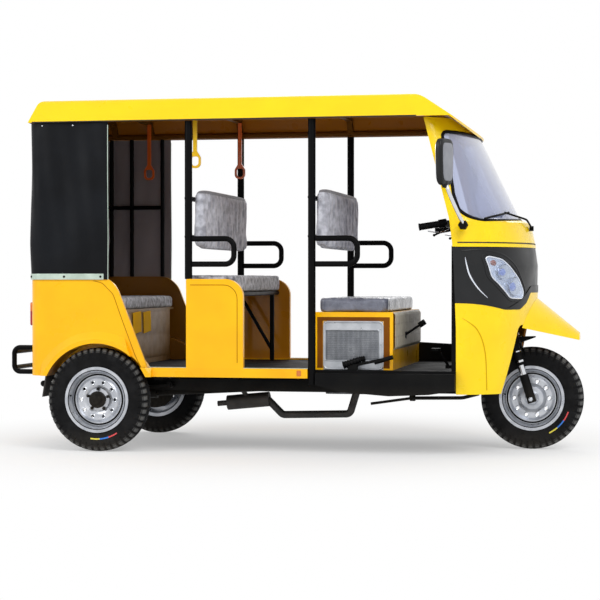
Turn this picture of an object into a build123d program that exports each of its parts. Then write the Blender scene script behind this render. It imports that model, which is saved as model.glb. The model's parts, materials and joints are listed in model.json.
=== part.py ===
"""Auto rickshaw: a three-wheeled passenger vehicle, one STEP file for each sub-part.

Millimetres. +X is forward, +Y is the vehicle's left and +Z is up. Pieces are drawn with X measured
from the rear axle and Z from the ground, and are moved at the end so that the origin is the middle
of the footprint's length.
"""

from build123d import *
import math
import os

# Wheels and steering
WHEELBASE = 2167.0
TYRE_R = 265.0
TYRE_W = 115.0
RIM_R = 168.0
BEAD_R = 152.0
RAKE = 17.5
RUNNING_GAP = 0.5
DISC_HOLES = 10
HOLE_RING = 90.0
HOLE_R = 8.0

# Body, floor and frame
BODY_HALF = 600.0
REACH = BODY_HALF + 100.0
TRACK = 2 * (BODY_HALF - 40.0)
FLOOR_TOP = 425.0
FLOOR_T = 20.0
SILL_BOTTOM = 385.0
SILL_TOP = 432.0
SILL_W = 40.0
PANEL_T = 16.0
WAIST = 896.0
REAR_X = -369.0
CORNER_R = 70.0
ARCH_R = 288.0
FLARE_W = 61.0
FLARE_OUT = 30.0
HOUSING_IN = BODY_HALF - 120.0
RAIL_Y = BODY_HALF - 220.0
RAIL_W = 40.0
RAIL_H = 60.0
RAIL_BOTTOM = 305.0
KICK = 40.0
SEAT_GAP = 0.3

# Uprights and roof
POST_X = {"mid": 476.0, "driver": 1111.0}
POST_D = 38.0
RAIL_TUBE_D = 30.0
ARM_TUBE_D = 28.0
BRACE_D = 25.0
ROOF_TOP = 1800.0
ROOF_LOW = ROOF_TOP - 118.0
HEADER_Z = ROOF_LOW - 182.0
VISOR_CUT = (ROOF_LOW - 92.0, ROOF_LOW - 122.0)
ROOF_LOW_HALF = BODY_HALF + 22.0
ROOF_TOP_HALF = BODY_HALF - 52.0
ROOF_WALL = 12.0
ROOF_BEND_X = 1642.0
VISOR_X = 1903.0
VISOR_Z = ROOF_TOP - 178.0

# Front body: half ellipses, each (height, rear edge X, nose X, half width)
FRONT_LEVELS = [
    (310.0, 1829.0, 2175.0, BODY_HALF - 55),
    (640.0, 1829.0, 2190.0, BODY_HALF - 45),
    (950.0, 1818.0, 2196.0, BODY_HALF - 40),
    (1060.0, 1810.0, 2180.0, BODY_HALF - 40),
    (1165.0, 1797.0, 2157.0, BODY_HALF - 42),
    (1185.0, 1793.0, 2105.0, BODY_HALF - 43),
    (ROOF_LOW, 1666.0, 1861.0, BODY_HALF - 55.5),
]
COWL_WALL = 10.0
MASK_INSET = 3.0
MASK_WALL = 8.0
MASK_TOP = 1040.0
GLASS_T = 5.0
GLASS_INSET = 2.0
FIT = 0.5
BULKHEAD_X = 1829.0
BULKHEAD_T = 8.0
DASH_Z = 1040.0
DASH_T = 10.0

# Seats: rear X, front X, bottom Z, top Z, half width
REAR_CUSHION = (-265.0, 110.0, 722.0, 791.0, BODY_HALF - 45)
MID_CUSHION = (430.0, 727.0, 817.0, 904.0, BODY_HALF - 45)
DRIVER_CUSHION = (1110.0, 1500.0, 715.0, 790.0, BODY_HALF - 95)
REAR_BACK = (-352.7, -283.0, 795.0, 1270.0, BODY_HALF - 60)
BACK_T = 60.0
BACK_HALF = BODY_HALF - 100.0
BACK_LOW = 1030.0
BACK_TOP = 1345.0
SEAT_BOX = (1107.0, 1508.0)
SEAT_BOX_HALF = BODY_HALF - 100.0
SEAT_WALL = 12.0
RADIATOR = (1155.0, 1460.0, 425.0, 669.0)

SINK = math.sin(math.radians(RAKE))
RISE = math.cos(math.radians(RAKE))
POST_Y = BODY_HALF - 20.5
ROOF_SLOPE = (ROOF_LOW_HALF - ROOF_TOP_HALF) / (ROOF_TOP - ROOF_LOW)
BUMPER_X = -514.0
BEAK_X = 2411.0
MIDDLE_X = (BUMPER_X + WHEELBASE + TYRE_R) / 2

# Axles, hubs and brakes
SPINDLE_R = 16.0
PINION_X = 150.0
FRONT_AXLE_R = 9.0
HUB_HALF = 60.0
DRUM_R = 100.0
PLATE_Y = TRACK / 2 - 76.0
PLATE_IN = TRACK / 2 - 95.0
AXLE_END = TRACK / 2 - 90.0
PLATE_GAP = 5.0

# Steering and handlebar
LEG_Y = 95.0
LEG_R = 23.0
CROWN = (290.0, 322.0)
STEM_R = 15.0
STEM_TOP = 895.0
HEAD = (338.0, 500.0)
BAR_D = 22.0
BAR_Z = 1150.0
BAR_POINTS = [(1888, 80, BAR_Z), (1868, 190, 1176), (1751, 330, 1164), (1620, 360, 1143)]
GRIP_R = 17.0

# Drive and springs
GEARBOX_X = 1040.0
ENGINE_X = (1110.3, 1479.7)
ENGINE_TOP_X = (1135.0, 1465.0)
ENGINE_HALF = BODY_HALF - 380.0
GEARBOX_HALF = 95.0
ENGINE_Z = (285.0, 400.0, 640.0)
STUB = 53.8
SPRING_Y = (RAIL_Y + 32.0, RAIL_Y + 75.0)

# Roof bows, rail and curtain
BOWS_X = (-265.0, -50.0, POST_X["mid"], POST_X["driver"])
ROOF_RAIL_Z = ROOF_LOW + 15.0
POST_TOP = ROOF_LOW + 6
VISOR_SLOPE = (ROOF_TOP - VISOR_Z) / (VISOR_X - ROOF_BEND_X)
CURTAIN_BARS_X = (-290.0, -169.0, 13.0)
CURTAIN_FRONT = 58.0


# Small shape helpers

def prism(axis, rows, start, stop):
    """A plate along one axis. Each row is (u, v) or (u, v, corner radius), in the other two axes."""
    place = {"x": lambda u, v: (start, u, v), "y": lambda u, v: (u, start, v), "z": lambda u, v: (u, v, start)}
    way = {"x": (1, 0, 0), "y": (0, 1, 0), "z": (0, 0, 1)}[axis]
    points = [place[axis](row[0], row[1]) for row in rows]
    radii = [row[2] if len(row) > 2 else 0 for row in rows]
    if any(radii):
        wire = FilletPolyline(*points, radius=radii, close=True)
    else:
        wire = Polyline(*points, close=True)
    return extrude(make_face(wire), amount=stop - start, dir=way)


def block(x, y, z, radius=0.0):
    """A box from (low, high) pairs, with its upright corners rounded."""
    rows = [(x[0], y[0], radius), (x[1], y[0], radius), (x[1], y[1], radius), (x[0], y[1], radius)]
    return prism("z", rows, z[0], z[1])


def pad(size, radius):
    """A closed cushion block from (rear X, front X, bottom Z, top Z, half width)."""
    rear, front, low, high, half = size
    body = block((rear, front), (-half, half), (low, high))
    return fillet(body.edges(), radius)


def bar(start, end, radius):
    """A round bar between two points."""
    line = Line(start, end)
    return sweep(Plane(origin=line @ 0, z_dir=line % 0) * Circle(radius), path=line)


def tube(points, diameter, bend):
    """A round bar through points, with tangent arcs at the corners."""
    path = FilletPolyline(*points, radius=bend)
    return sweep(Plane(origin=path @ 0, z_dir=path % 0) * Circle(diameter / 2), path=path)


def both(shape):
    """A shape on the right side and its mirror image on the left."""
    return [shape, mirror(shape, about=Plane.XZ)]


def joined(*shapes):
    """One solid from overlapping shapes."""
    flat = []
    for shape in shapes:
        flat += list(shape) if isinstance(shape, (list, tuple)) else [shape]
    result = flat[0]
    for shape in flat[1:]:
        result = result + shape
    return result


def turned(rows, centre):
    """A body of revolution about the wheel's axis. Each row is (radius, distance outwards)."""
    face = make_face(Polyline(*[(row[0], 0, row[1]) for row in rows], close=True))
    solid = revolve(face, axis=Axis.Z)
    return Pos(*centre) * Rot(90, 0, 0) * solid


def on_steering(along, ahead=0.0, side=0.0):
    """A point by its distance up the steering axis from the axle, and ahead of it."""
    x = WHEELBASE - along * SINK + ahead * RISE
    z = TYRE_R + along * RISE + ahead * SINK
    return (x, side, z)


# Running gear

def tyre(centre):
    """A solid tyre: flat bead, arched sidewalls and a crowned tread."""
    half, bead = TYRE_W / 2, 48.5
    side = [(BEAD_R + SEAT_GAP, bead), (RIM_R + 2, bead), (RIM_R + 4, half - 5)]
    right = [(x, 0, w) for x, w in side]
    left = [(x, 0, -w) for x, w in side]
    shoulder = (TYRE_R - 15, half - 8)
    tread = (TYRE_R - 3, half - 24)
    edges = [
        Polyline(*left[::-1], *right),
        ThreePointArc(right[-1], (TYRE_R - 52, 0, half), (shoulder[0], 0, shoulder[1])),
        ThreePointArc((shoulder[0], 0, shoulder[1]), (TYRE_R - 7, 0, half - 14), (tread[0], 0, tread[1])),
        ThreePointArc((tread[0], 0, tread[1]), (TYRE_R, 0, 0), (tread[0], 0, -tread[1])),
        ThreePointArc((tread[0], 0, -tread[1]), (TYRE_R - 7, 0, 14 - half), (shoulder[0], 0, -shoulder[1])),
        ThreePointArc((shoulder[0], 0, -shoulder[1]), (TYRE_R - 52, 0, -half), left[-1]),
    ]
    solid = revolve(make_face(edges), axis=Axis.Z)
    return Pos(*centre) * Rot(90, 0, 0) * solid


def disc_holes(wheel, centre, out):
    """The wheel with a ring of round holes through its disc, which lies on the out side (1 or -1) of Y."""
    for i in range(DISC_HOLES):
        angle = 2 * math.pi * i / DISC_HOLES
        x, z = centre[0] + HOLE_RING * math.cos(angle), centre[2] + HOLE_RING * math.sin(angle)
        wheel = wheel - bar((x, centre[1] + out * 5, z), (x, centre[1] + out * 60, z), HOLE_R)
    return wheel


def rear_wheel_profile():
    """Rim, disc, hub and brake drum: (radius, distance outwards from the wheel's middle)."""
    drum = PLATE_Y + PLATE_GAP - TRACK / 2
    bore = SPINDLE_R + RUNNING_GAP
    return [
        (0, 46), (30, 46), (36, 40), (36, 26), (58, 22), (76, 30), (104, 30), (118, 20), (134, 20), (140, 40),
        (150, 55), (RIM_R, 55), (RIM_R, 50), (BEAD_R, 49), (BEAD_R, -49), (RIM_R, -50), (RIM_R, -55),
        (150, -55), (140, -40), (138, 10), (118, 10), (104, 20), (76, 20), (50, 10), (46, -40), (DRUM_R, -40),
        (DRUM_R, drum), (bore, drum), (bore, 34), (0, 34),
    ]


def front_wheel_profile():
    """Rim, disc and hub of the front wheel: (radius, distance towards the right)."""
    bore = FRONT_AXLE_R + RUNNING_GAP
    return [
        (bore, HUB_HALF), (30, HUB_HALF), (36, 40), (36, 26), (58, 22), (76, 30), (104, 30), (118, 20), (134, 20),
        (140, 40), (150, 55), (RIM_R, 55), (RIM_R, 50), (BEAD_R, 49), (BEAD_R, -49), (RIM_R, -50), (RIM_R, -55),
        (150, -55), (140, -40), (138, 10), (118, 10), (104, 20), (76, 20), (50, 10), (46, -HUB_HALF),
        (bore, -HUB_HALF),
    ]


def wheels():
    """Tyres and wheels of the three corners."""
    parts = {}
    for side, out in (("right", -1), ("left", 1)):
        centre = (0, out * TRACK / 2, TYRE_R)
        wheel = turned([(r, -out * w) for r, w in rear_wheel_profile()], centre)
        parts["rear_tyre_" + side] = tyre(centre)
        parts["rear_wheel_" + side] = disc_holes(wheel, centre, out)
    centre = (WHEELBASE, 0, TYRE_R)
    parts["front_tyre"] = tyre(centre)
    parts["front_wheel"] = disc_holes(turned(front_wheel_profile(), centre), centre, -1)
    return parts


def front_fork():
    """Two telescopic legs, crown, stem and axle, in line with the steering axis."""
    parts = []
    for side in (-LEG_Y, LEG_Y):
        parts.append(bar(on_steering(-20, 0, side), on_steering(130, 0, side), LEG_R))
        parts.append(bar(on_steering(120, 0, side), on_steering(190, 0, side), LEG_R - 6))
        parts.append(bar(on_steering(180, 0, side), on_steering(CROWN[1], 0, side), LEG_R + 1))
    for ends in ((-LEG_Y - 32, LEG_Y + 32, FRONT_AXLE_R), (-LEG_Y, -HUB_HALF - RUNNING_GAP, 14),
                 (HUB_HALF + RUNNING_GAP, LEG_Y, 14)):
        parts.append(bar(on_steering(0, 0, ends[0]), on_steering(0, 0, ends[1]), ends[2]))
    low, high = CROWN
    rows = [(-30, low), (34, low), (110, low + 4), (110, low + 10), (34, high), (-30, high)]
    wide = [on_steering(s, d) for d, s in rows]
    plate = make_face(Polyline(*[wide[0], wide[1], wide[4], wide[5]], close=True))
    tongue = make_face(Polyline(*[wide[1], wide[2], wide[3], wide[4]], close=True))
    parts.append(extrude(plate, amount=LEG_Y + 30, dir=(0, 1, 0), both=True))
    parts.append(extrude(tongue, amount=28, dir=(0, 1, 0), both=True))
    parts.append(bar(on_steering(CROWN[0] + 10), on_steering(STEM_TOP), STEM_R))
    return joined(parts)


def along(start, end, distance):
    """The point at a distance from start on the way to end."""
    way = Vector(*end) - Vector(*start)
    return tuple(Vector(*start) + way.normalized() * distance)


def handlebar():
    """Swept-back bar with its clamp, switch housings and levers."""
    right = [(x, -y, z) for x, y, z in BAR_POINTS]
    points = right[::-1] + BAR_POINTS
    parts = [tube(points, BAR_D, 50)]
    seat = TYRE_R + STEM_TOP * RISE + STEM_R * SINK + SEAT_GAP
    parts.append(block((1864, 1924), (-34, 34), (seat, BAR_Z + 20), 8))
    for side in (BAR_POINTS, right):
        bend, tip = side[2], side[3]
        out = 1 if bend[1] > 0 else -1
        parts.append(bar(along(bend, tip, -6), along(bend, tip, 34), 22))
        hinge = (bend[0] + 6, bend[1] + out * 4, bend[2] - 12)
        lever = [hinge, (1738, out * 350, 1120), (1697, out * 356, 1102)]
        parts.append(tube(lever, 9, 30))
        parts.append(Pos(*lever[-1]) * Sphere(7))
    return joined(parts)


def handlebar_grips():
    """Rubber sleeves over the two ends of the handlebar."""
    grips = []
    for out in (1, -1):
        bend, tip = [(x, out * y, z) for x, y, z in BAR_POINTS[2:]]
        length = (Vector(*tip) - Vector(*bend)).length
        sleeve = bar(along(bend, tip, 36), along(bend, tip, length + 5), GRIP_R)
        grips.append(sleeve - bar(along(bend, tip, 20), along(bend, tip, length + 0.2), BAR_D / 2 + 0.2))
    return grips


# Chassis

def chassis_frame():
    """Two rails kicked up at the tail, cross-bearers, neck and head tube."""
    top = RAIL_BOTTOM + RAIL_H
    rail = [
        (1840, RAIL_BOTTOM), (1840, top), (270, top), (210, top + KICK), (-345, top + KICK),
        (-345, RAIL_BOTTOM + KICK), (190, RAIL_BOTTOM + KICK), (250, RAIL_BOTTOM),
    ]
    parts = both(prism("y", rail, -RAIL_Y - RAIL_W / 2, -RAIL_Y + RAIL_W / 2))
    deck = FLOOR_TOP - FLOOR_T
    for x in (300, 700, 1090, 1500, 1790):
        parts.append(block((x - 20, x + 20), (70 - BODY_HALF, BODY_HALF - 70), (top, deck)))
    for x in (-325, -150, 150):
        parts.append(block((x - 20, x + 20), (-RAIL_Y, RAIL_Y), (RAIL_BOTTOM + KICK + 15, top + KICK)))
    parts.append(block((1800, 1860), (-RAIL_Y - 20, RAIL_Y + 20), (RAIL_BOTTOM, top)))
    parts.append(tube([(1850, 0, 330), (1893, 0, 470), on_steering(440)], 50, 80))
    parts.append(bar(on_steering(HEAD[0]), on_steering(HEAD[1]), STEM_R + 12))
    frame = joined(parts)
    return frame - bar(on_steering(HEAD[0] - 20), on_steering(HEAD[1] + 20), STEM_R + RUNNING_GAP)


def rear_axle():
    """Axle tube, differential bulge, brake plates and spindles."""
    centre = (0, 0, TYRE_R)
    parts = [turned([(0, AXLE_END), (30, AXLE_END), (30, -AXLE_END), (0, -AXLE_END)], centre)]
    parts.append(turned([(0, 90), (60, 90), (104, 40), (104, -40), (60, -90), (0, -90)], centre))
    parts.append(bar((60, 0, TYRE_R + 8), (PINION_X, 0, TYRE_R + 8), 36))
    for sign in (1, -1):
        plate = [(0, sign * PLATE_IN), (115, sign * PLATE_IN), (115, sign * PLATE_Y), (0, sign * PLATE_Y)]
        end = sign * (TRACK / 2 + 30)
        spindle = [(0, sign * AXLE_END), (SPINDLE_R, sign * AXLE_END), (SPINDLE_R, end), (0, end)]
        parts += [turned(plate, centre), turned(spindle, centre)]
    return joined(parts)


def rear_suspension():
    """A leaf spring over each end of the axle, its eyes pinned to the rail's outer face."""
    low = TYRE_R + 30 + SEAT_GAP
    springs = []
    for sign in (1, -1):
        arc = [
            ThreePointArc((-340, 0, low + 34), (0, 0, low), (340, 0, low + 34)),
            Line((340, 0, low + 34), (340, 0, low + 46)),
            ThreePointArc((340, 0, low + 46), (0, 0, low + 28), (-340, 0, low + 46)),
            Line((-340, 0, low + 46), (-340, 0, low + 34)),
        ]
        y = sign * SPRING_Y[0]
        leaf = Pos(0, y, 0) * extrude(make_face(arc), amount=43, dir=(0, sign, 0))
        parts = [leaf]
        for x in (-340, 340):
            z = low + 40
            parts.append(bar((x, y, z), (x, sign * SPRING_Y[1], z), 16))
            parts.append(bar((x, sign * (RAIL_Y + RAIL_W / 2 + SEAT_GAP), z), (x, sign * (SPRING_Y[1] + 5), z), 8))
        springs.append(joined(parts))
    return springs


def engine():
    """The engine as one plain block, stepped to pass the floor, with its gearbox behind it."""
    low, shoulder, top = ENGINE_Z
    half = ENGINE_HALF
    case = block(ENGINE_X, (-half, half), (low, shoulder), 30)
    upper = block(ENGINE_TOP_X, (20 - half, half - 20), (shoulder - 5, top), 30)
    gearbox = block((GEARBOX_X, ENGINE_X[0] + 5), (-GEARBOX_HALF, GEARBOX_HALF), (low + 5, low + 75), 20)
    return joined(case, upper, gearbox)


def prop_shaft():
    """Tubular shaft from the gearbox to the differential."""
    tilt = 25 * (322 - 274) / (GEARBOX_X - PINION_X)
    return bar((PINION_X + tilt + SEAT_GAP, 0, 274), (GEARBOX_X - tilt - SEAT_GAP, 0, 322), 25)


def exhaust():
    """Pipe down from the engine, silencer, tail stub and hanger."""
    y = 80 - RAIL_Y
    inlet = -ENGINE_HALF - 15
    pipe = tube([(825, y, 259), (905, y, 180), (1257, y, 189), (1300, y, 330), (1300, inlet, 330)], 38, 28)
    flange = bar((1300, inlet - 5, 330), (1300, -ENGINE_HALF - SEAT_GAP, 330), 30)
    middle = Line((613, y, 238), (835, y, 260))
    can = bar(middle @ 0, middle @ 1, 38)
    tail = bar((middle @ 0) - (middle % 0) * STUB, middle @ 0.05, 14)
    under = RAIL_BOTTOM - SEAT_GAP
    hanger = prism("x", [(y - 12, 270), (y + 10, 270), (y - 72, under), (y - 92, under)], 703, 727)
    return joined(pipe, flange, can, tail, hanger)


def radiator():
    """Flat radiator in the side of the seat box, with a recess over its core."""
    x0, x1, z0, z1 = RADIATOR
    y = -SEAT_BOX_HALF
    body = block((x0 + FIT, x1 - FIT), (y + 3, y + 50), (z0 + SEAT_GAP, z1 - FIT))
    return body - block((x0 + 10, x1 - 24), (y, y + 10), (z0 + 48, z1 - 45))


def floor_deck():
    """The deck, narrow between the rear wheels, with an opening over the engine."""
    rear, step, front = -340, 262, BULKHEAD_X
    inner, outer = HOUSING_IN - SEAT_GAP, BODY_HALF - SILL_W
    rows = [
        (rear, -inner), (step, -inner), (step, -outer), (front, -outer),
        (front, outer), (step, outer), (step, inner), (rear, inner),
    ]
    deck = prism("z", rows, FLOOR_TOP - FLOOR_T, FLOOR_TOP)
    well = block((ENGINE_TOP_X[0] - 10, ENGINE_TOP_X[1] + 10), (-210, 210), (FLOOR_TOP - 30, FLOOR_TOP + 10))
    return deck - well


def side_sills():
    """Yellow sills along the passenger entries."""
    y = (-BODY_HALF, -BODY_HALF + SILL_W)
    end = POST_X["driver"] - POST_D / 2 - SEAT_GAP
    return both(block((330, end), y, (SILL_BOTTOM, SILL_TOP)))


def front_sills():
    """Black sills beside the driver, and the foot guard on the left."""
    start = POST_X["driver"] + POST_D / 2 + SEAT_GAP
    top = FLOOR_TOP - 13
    rows = [
        (start, 353), (start, top), (BULKHEAD_X, top), (BULKHEAD_X, 330), (1700, 310), (1500, 301), (1250, 320),
    ]
    right = prism("y", rows, -BODY_HALF, -BODY_HALF + SILL_W)
    guard = [(1385, 395), (1395, 535, 15), (1675, 521), (BULKHEAD_X, 519), (BULKHEAD_X, 395)]
    left = mirror(right, about=Plane.XZ) + prism("y", guard, BODY_HALF - 25, BODY_HALF - 10)
    return [right, left]


# Rear and side body

def rear_side_panel():
    """Right rear side: outer skin, wheel arch flare and the inner wheel housing."""
    front = [(83, WAIST, 130), (264, SILL_TOP, 12), (330, SILL_TOP), (330, SILL_BOTTOM)]
    rows = [(REAR_X + CORNER_R, SILL_BOTTOM), (REAR_X + CORNER_R, WAIST)] + front
    skin = prism("y", rows, -BODY_HALF, -BODY_HALF + PANEL_T)
    centre = (0, 0, TYRE_R)
    out = BODY_HALF + FLARE_OUT
    flare = turned([(ARCH_R, BODY_HALF - 4), (ARCH_R, out), (ARCH_R + 22, out), (ARCH_R + FLARE_W, BODY_HALF),
                    (ARCH_R + FLARE_W, BODY_HALF - 4)], centre)
    rear = REAR_X + CORNER_R
    edge = [(rear, SILL_BOTTOM), (rear, WAIST), (20, WAIST), (205, SILL_TOP), (290, SILL_TOP), (290, SILL_BOTTOM)]
    flare = flare & prism("y", edge, -out - 1, -BODY_HALF + 5)
    wall = 8
    ring = turned([(ARCH_R, HOUSING_IN), (ARCH_R, BODY_HALF - 4), (ARCH_R + wall, BODY_HALF - 4),
                   (ARCH_R + wall, HOUSING_IN)], centre)
    disc = turned([(0, HOUSING_IN), (0, HOUSING_IN + wall), (ARCH_R + 1, HOUSING_IN + wall),
                   (ARCH_R + 1, HOUSING_IN)], centre)
    housing = (ring & block((-400, 400), (-BODY_HALF, -HOUSING_IN), (SILL_BOTTOM, WAIST))) + (
        disc & block((-400, 400), (-BODY_HALF, -HOUSING_IN), (FLOOR_TOP, WAIST)))
    hole = turned([(0, HOUSING_IN + wall), (0, out + 5), (ARCH_R, out + 5), (ARCH_R, HOUSING_IN + wall)], centre)
    return (skin + flare + housing) - hole


def rear_panel():
    """The tail panel, wrapping round both rear corners."""
    def shell(inset, low, high):
        rows = [
            (REAR_X + inset, -BODY_HALF + inset, CORNER_R - inset), (0, -BODY_HALF + inset),
            (0, BODY_HALF - inset), (REAR_X + inset, BODY_HALF - inset, CORNER_R - inset),
        ]
        return prism("z", rows, low, high)
    ring = shell(0, SILL_BOTTOM, WAIST) - shell(PANEL_T, SILL_BOTTOM - 5, WAIST + 5)
    return ring & block((REAR_X - 5, REAR_X + CORNER_R), (-BODY_HALF - 5, BODY_HALF + 5), (0, WAIST + 50))


def mid_side_panels():
    """Half panels beside the middle bench, standing on the sills."""
    rows = [(468, SILL_TOP), (468, 881, 8), (763, 881, 92), (763, SILL_TOP)]
    return both(prism("y", rows, -BODY_HALF, -BODY_HALF + 30))


def rear_bumper():
    """Black tube hoop: a D at each side and two bars across."""
    r = 13
    top, low, back = 536 - r, 384 + r, BUMPER_X + r
    start = REAR_X - SEAT_GAP
    loops = [tube([(start, y, top), (back, y, top), (back, y, low), (start, y, low)], 2 * r, 32)
             for y in (150 - BODY_HALF, BODY_HALF - 150)]
    half = BODY_HALF - 148
    bars = [bar((back + 6, -half, z), (back + 6, half, z), r - 1) for z in (top - 22, low + 22)]
    return joined(loops, bars)


def mud_flaps():
    """Rubber flaps hung behind the rear wheels."""
    top = SILL_BOTTOM - SEAT_GAP
    rows = [(-272, top), (-279, top), (-297, 276), (-290, 276)]
    return both(prism("y", rows, -BODY_HALF + 2, 95 - BODY_HALF))


def tail_lamps():
    """A lamp near each rear corner."""
    x = REAR_X - SEAT_GAP
    out, inner = 100 - BODY_HALF, 200 - BODY_HALF
    return both(prism("x", [(out, 640, 12), (inner, 640, 12), (inner, 760, 12), (out, 760, 12)], x - 26, x))


# Seats

def rear_seat_base():
    """Sheet seat base: front, sides and top."""
    rear, front, top, half = -335, 85, REAR_CUSHION[2] - SEAT_GAP, REAR_CUSHION[4]
    inner = HOUSING_IN - 2
    box = block((rear, front), (-inner, inner), (FLOOR_TOP, top))
    box = box - block((rear - 5, front - 12), (12 - inner, inner - 12), (FLOOR_TOP - 5, top - 12))
    return box + block((rear, front), (-half, half), (top - 12, top))


def mid_seat_frame():
    """Two cross tubes on four legs."""
    r = BRACE_D / 2
    z = MID_CUSHION[2] - SEAT_GAP - r
    half = BODY_HALF - 30 - SEAT_GAP
    parts = [bar((x, -half, z), (x, half, z), r) for x in (500, 690)]
    for y in (170 - BODY_HALF, BODY_HALF - 170):
        parts.append(bar((500, y, z), (690, y, z), r))
        parts += [bar((x, y, FLOOR_TOP), (x, y, z), r) for x in (500, 690)]
        parts.append(bar((500, y, z), (690, y, FLOOR_TOP + 60), r - 3))
    return joined(parts)


def driver_seat_box():
    """Seat box: a thin shell, open to the radiator in its right side and to the engine below."""
    x0, x1 = SEAT_BOX
    half, top, wall = SEAT_BOX_HALF, DRIVER_CUSHION[2] - SEAT_GAP, SEAT_WALL
    box = block((x0, x1), (-half, half), (FLOOR_TOP, top))
    box = box - block((x0 + wall, x1 - wall), (wall - half, half - wall), (FLOOR_TOP - 5, top - wall))
    x2, x3, z0, z1 = RADIATOR
    return box - block((x2, x3), (-half - 5, -half + wall + 5), (z0 - 5, z1))


def backrest(rear):
    """A backrest pad whose rear face is at the given X."""
    return pad((rear, rear + BACK_T, BACK_LOW, BACK_TOP, BACK_HALF), 18)


# Uprights, roof and curtain

def roof_half(z, inset):
    """Half width of the roof's section at a height, inset from its skin."""
    return ROOF_LOW_HALF - (z - ROOF_LOW) * ROOF_SLOPE - inset * math.hypot(1, ROOF_SLOPE)


def roof_section(inset, low, start, stop):
    """A length of roof space: sloping sides above the roof's lower edge, upright below it."""
    top, edge = ROOF_TOP - inset, min(low, ROOF_LOW)
    wide, narrow = roof_half(ROOF_LOW, inset), roof_half(top, inset)
    right = [(-wide, edge - 1), (-wide, ROOF_LOW), (-narrow, top, 40 - inset)]
    space = prism("x", mirrored_rows(right), start, stop)
    return space & block((start, stop), (-REACH, REACH), (low, top))


def under_visor(inset, low):
    """Side outline of the space under the roof skin, down to a height."""
    top = ROOF_TOP - inset
    rear = REAR_X + 5 + inset
    bend = ROOF_BEND_X + (inset - inset * math.hypot(1, VISOR_SLOPE)) / VISOR_SLOPE
    return [(rear, low - 1), (rear, ROOF_LOW), (rear + 38, top, 40 - inset), (bend, top, 150 - inset),
            (bend + (top - low) / VISOR_SLOPE, low)]


def roof():
    """Pressed roof with sloping sides and a visor, open below."""
    rows = under_visor(0, ROOF_LOW)[1:4] + [(VISOR_X, VISOR_Z), (VISOR_X - 4, VISOR_Z - 12), (1800, ROOF_LOW)]
    outer = prism("y", rows, -REACH, REACH)
    outer = outer & roof_section(0, VISOR_CUT[0], REAR_X - 20, VISOR_X + 20)
    side, low = BODY_HALF + 40, HEADER_Z
    plan = make_face([
        Polyline((1815, -side, low), (REAR_X, -side, low), (REAR_X, side, low), (1815, side, low)),
        ThreePointArc((1815, side, low), (VISOR_X, 0, low), (1815, -side, low)),
    ])
    outer = outer & extrude(plan, amount=400, dir=(0, 0, 1))
    inner = prism("y", under_visor(ROOF_WALL, VISOR_CUT[1]), -REACH, REACH)
    return outer - (inner & roof_section(ROOF_WALL, VISOR_CUT[1], REAR_X - 20, VISOR_X + 60))


def upright_frame():
    """Posts, roof rails, bows under the roof and the backrests' cross tubes."""
    r = RAIL_TUBE_D / 2
    parts = []
    for sign in (1, -1):
        y = sign * POST_Y
        parts.append(bar((-335, y, ROOF_RAIL_Z), (1700, y, ROOF_RAIL_Z), r))
        parts.append(bar((POST_X["mid"], y, 881), (POST_X["mid"], y, POST_TOP), POST_D / 2))
        parts.append(bar((POST_X["driver"], y, 353), (POST_X["driver"], y, POST_TOP), POST_D / 2))
    for x in BOWS_X:
        gap = ROOF_WALL + SEAT_GAP
        hoop = roof_section(gap, ROOF_LOW + 6, x - 15, x + 15)
        parts.append(hoop - roof_section(gap + 25, ROOF_LOW - 40, x - 20, x + 20))
    parts.append(block((1672, 1700), (-POST_Y, POST_Y), (ROOF_LOW + SEAT_GAP, ROOF_LOW + 26)))
    for x in POST_X.values():
        back = x + 4 - SEAT_GAP - BRACE_D / 2
        parts += [bar((back, -POST_Y, z), (back, POST_Y, z), BRACE_D / 2) for z in (1095, 1290)]
    return joined(parts)


def armrests():
    """D-shaped tubes reaching forward from each post."""
    loops = []
    for post, reach in (("mid", 726.0), ("driver", 1355.0)):
        start = POST_X[post] + POST_D / 2 + SEAT_GAP
        front, top, low = reach - ARM_TUBE_D / 2, 1084, 956
        for y in (-POST_Y, POST_Y):
            loops.append(tube([(start, y, top), (front, y, top), (front, y, low), (start, y, low)], ARM_TUBE_D, 45))
    return loops


def curtain_frame():
    """Tube grid behind the curtain, on both sides and across the back."""
    r = 11
    y = POST_Y
    top, middle = ROOF_RAIL_Z - RAIL_TUBE_D / 2 - SEAT_GAP, 1292
    parts = []
    for sign in (1, -1):
        parts += [bar((x, sign * y, WAIST + SEAT_GAP), (x, sign * y, top), r) for x in CURTAIN_BARS_X]
        parts.append(bar((CURTAIN_BARS_X[0], sign * y, middle), (CURTAIN_BARS_X[-1], sign * y, middle), r))
    parts.append(bar((CURTAIN_BARS_X[0], -y, middle), (CURTAIN_BARS_X[0], y, middle), r))
    return joined(parts)


def curtain():
    """PVC sheet round the back, clamped outside the waist of the body."""
    def sheet(out, low, high):
        rows = [
            (REAR_X - out, -BODY_HALF - out, CORNER_R), (CURTAIN_FRONT, -BODY_HALF - out),
            (CURTAIN_FRONT, BODY_HALF + out), (REAR_X - out, BODY_HALF + out, CORNER_R),
        ]
        return prism("z", rows, low, high)
    low, high = WAIST - 18, ROOF_LOW - SEAT_GAP
    ring = sheet(5, low, high) - sheet(SEAT_GAP, low - 5, high + 5)
    return ring - block((CURTAIN_FRONT - 20, CURTAIN_FRONT + 5), (-BODY_HALF, BODY_HALF), (low - 5, high + 5))


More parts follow.
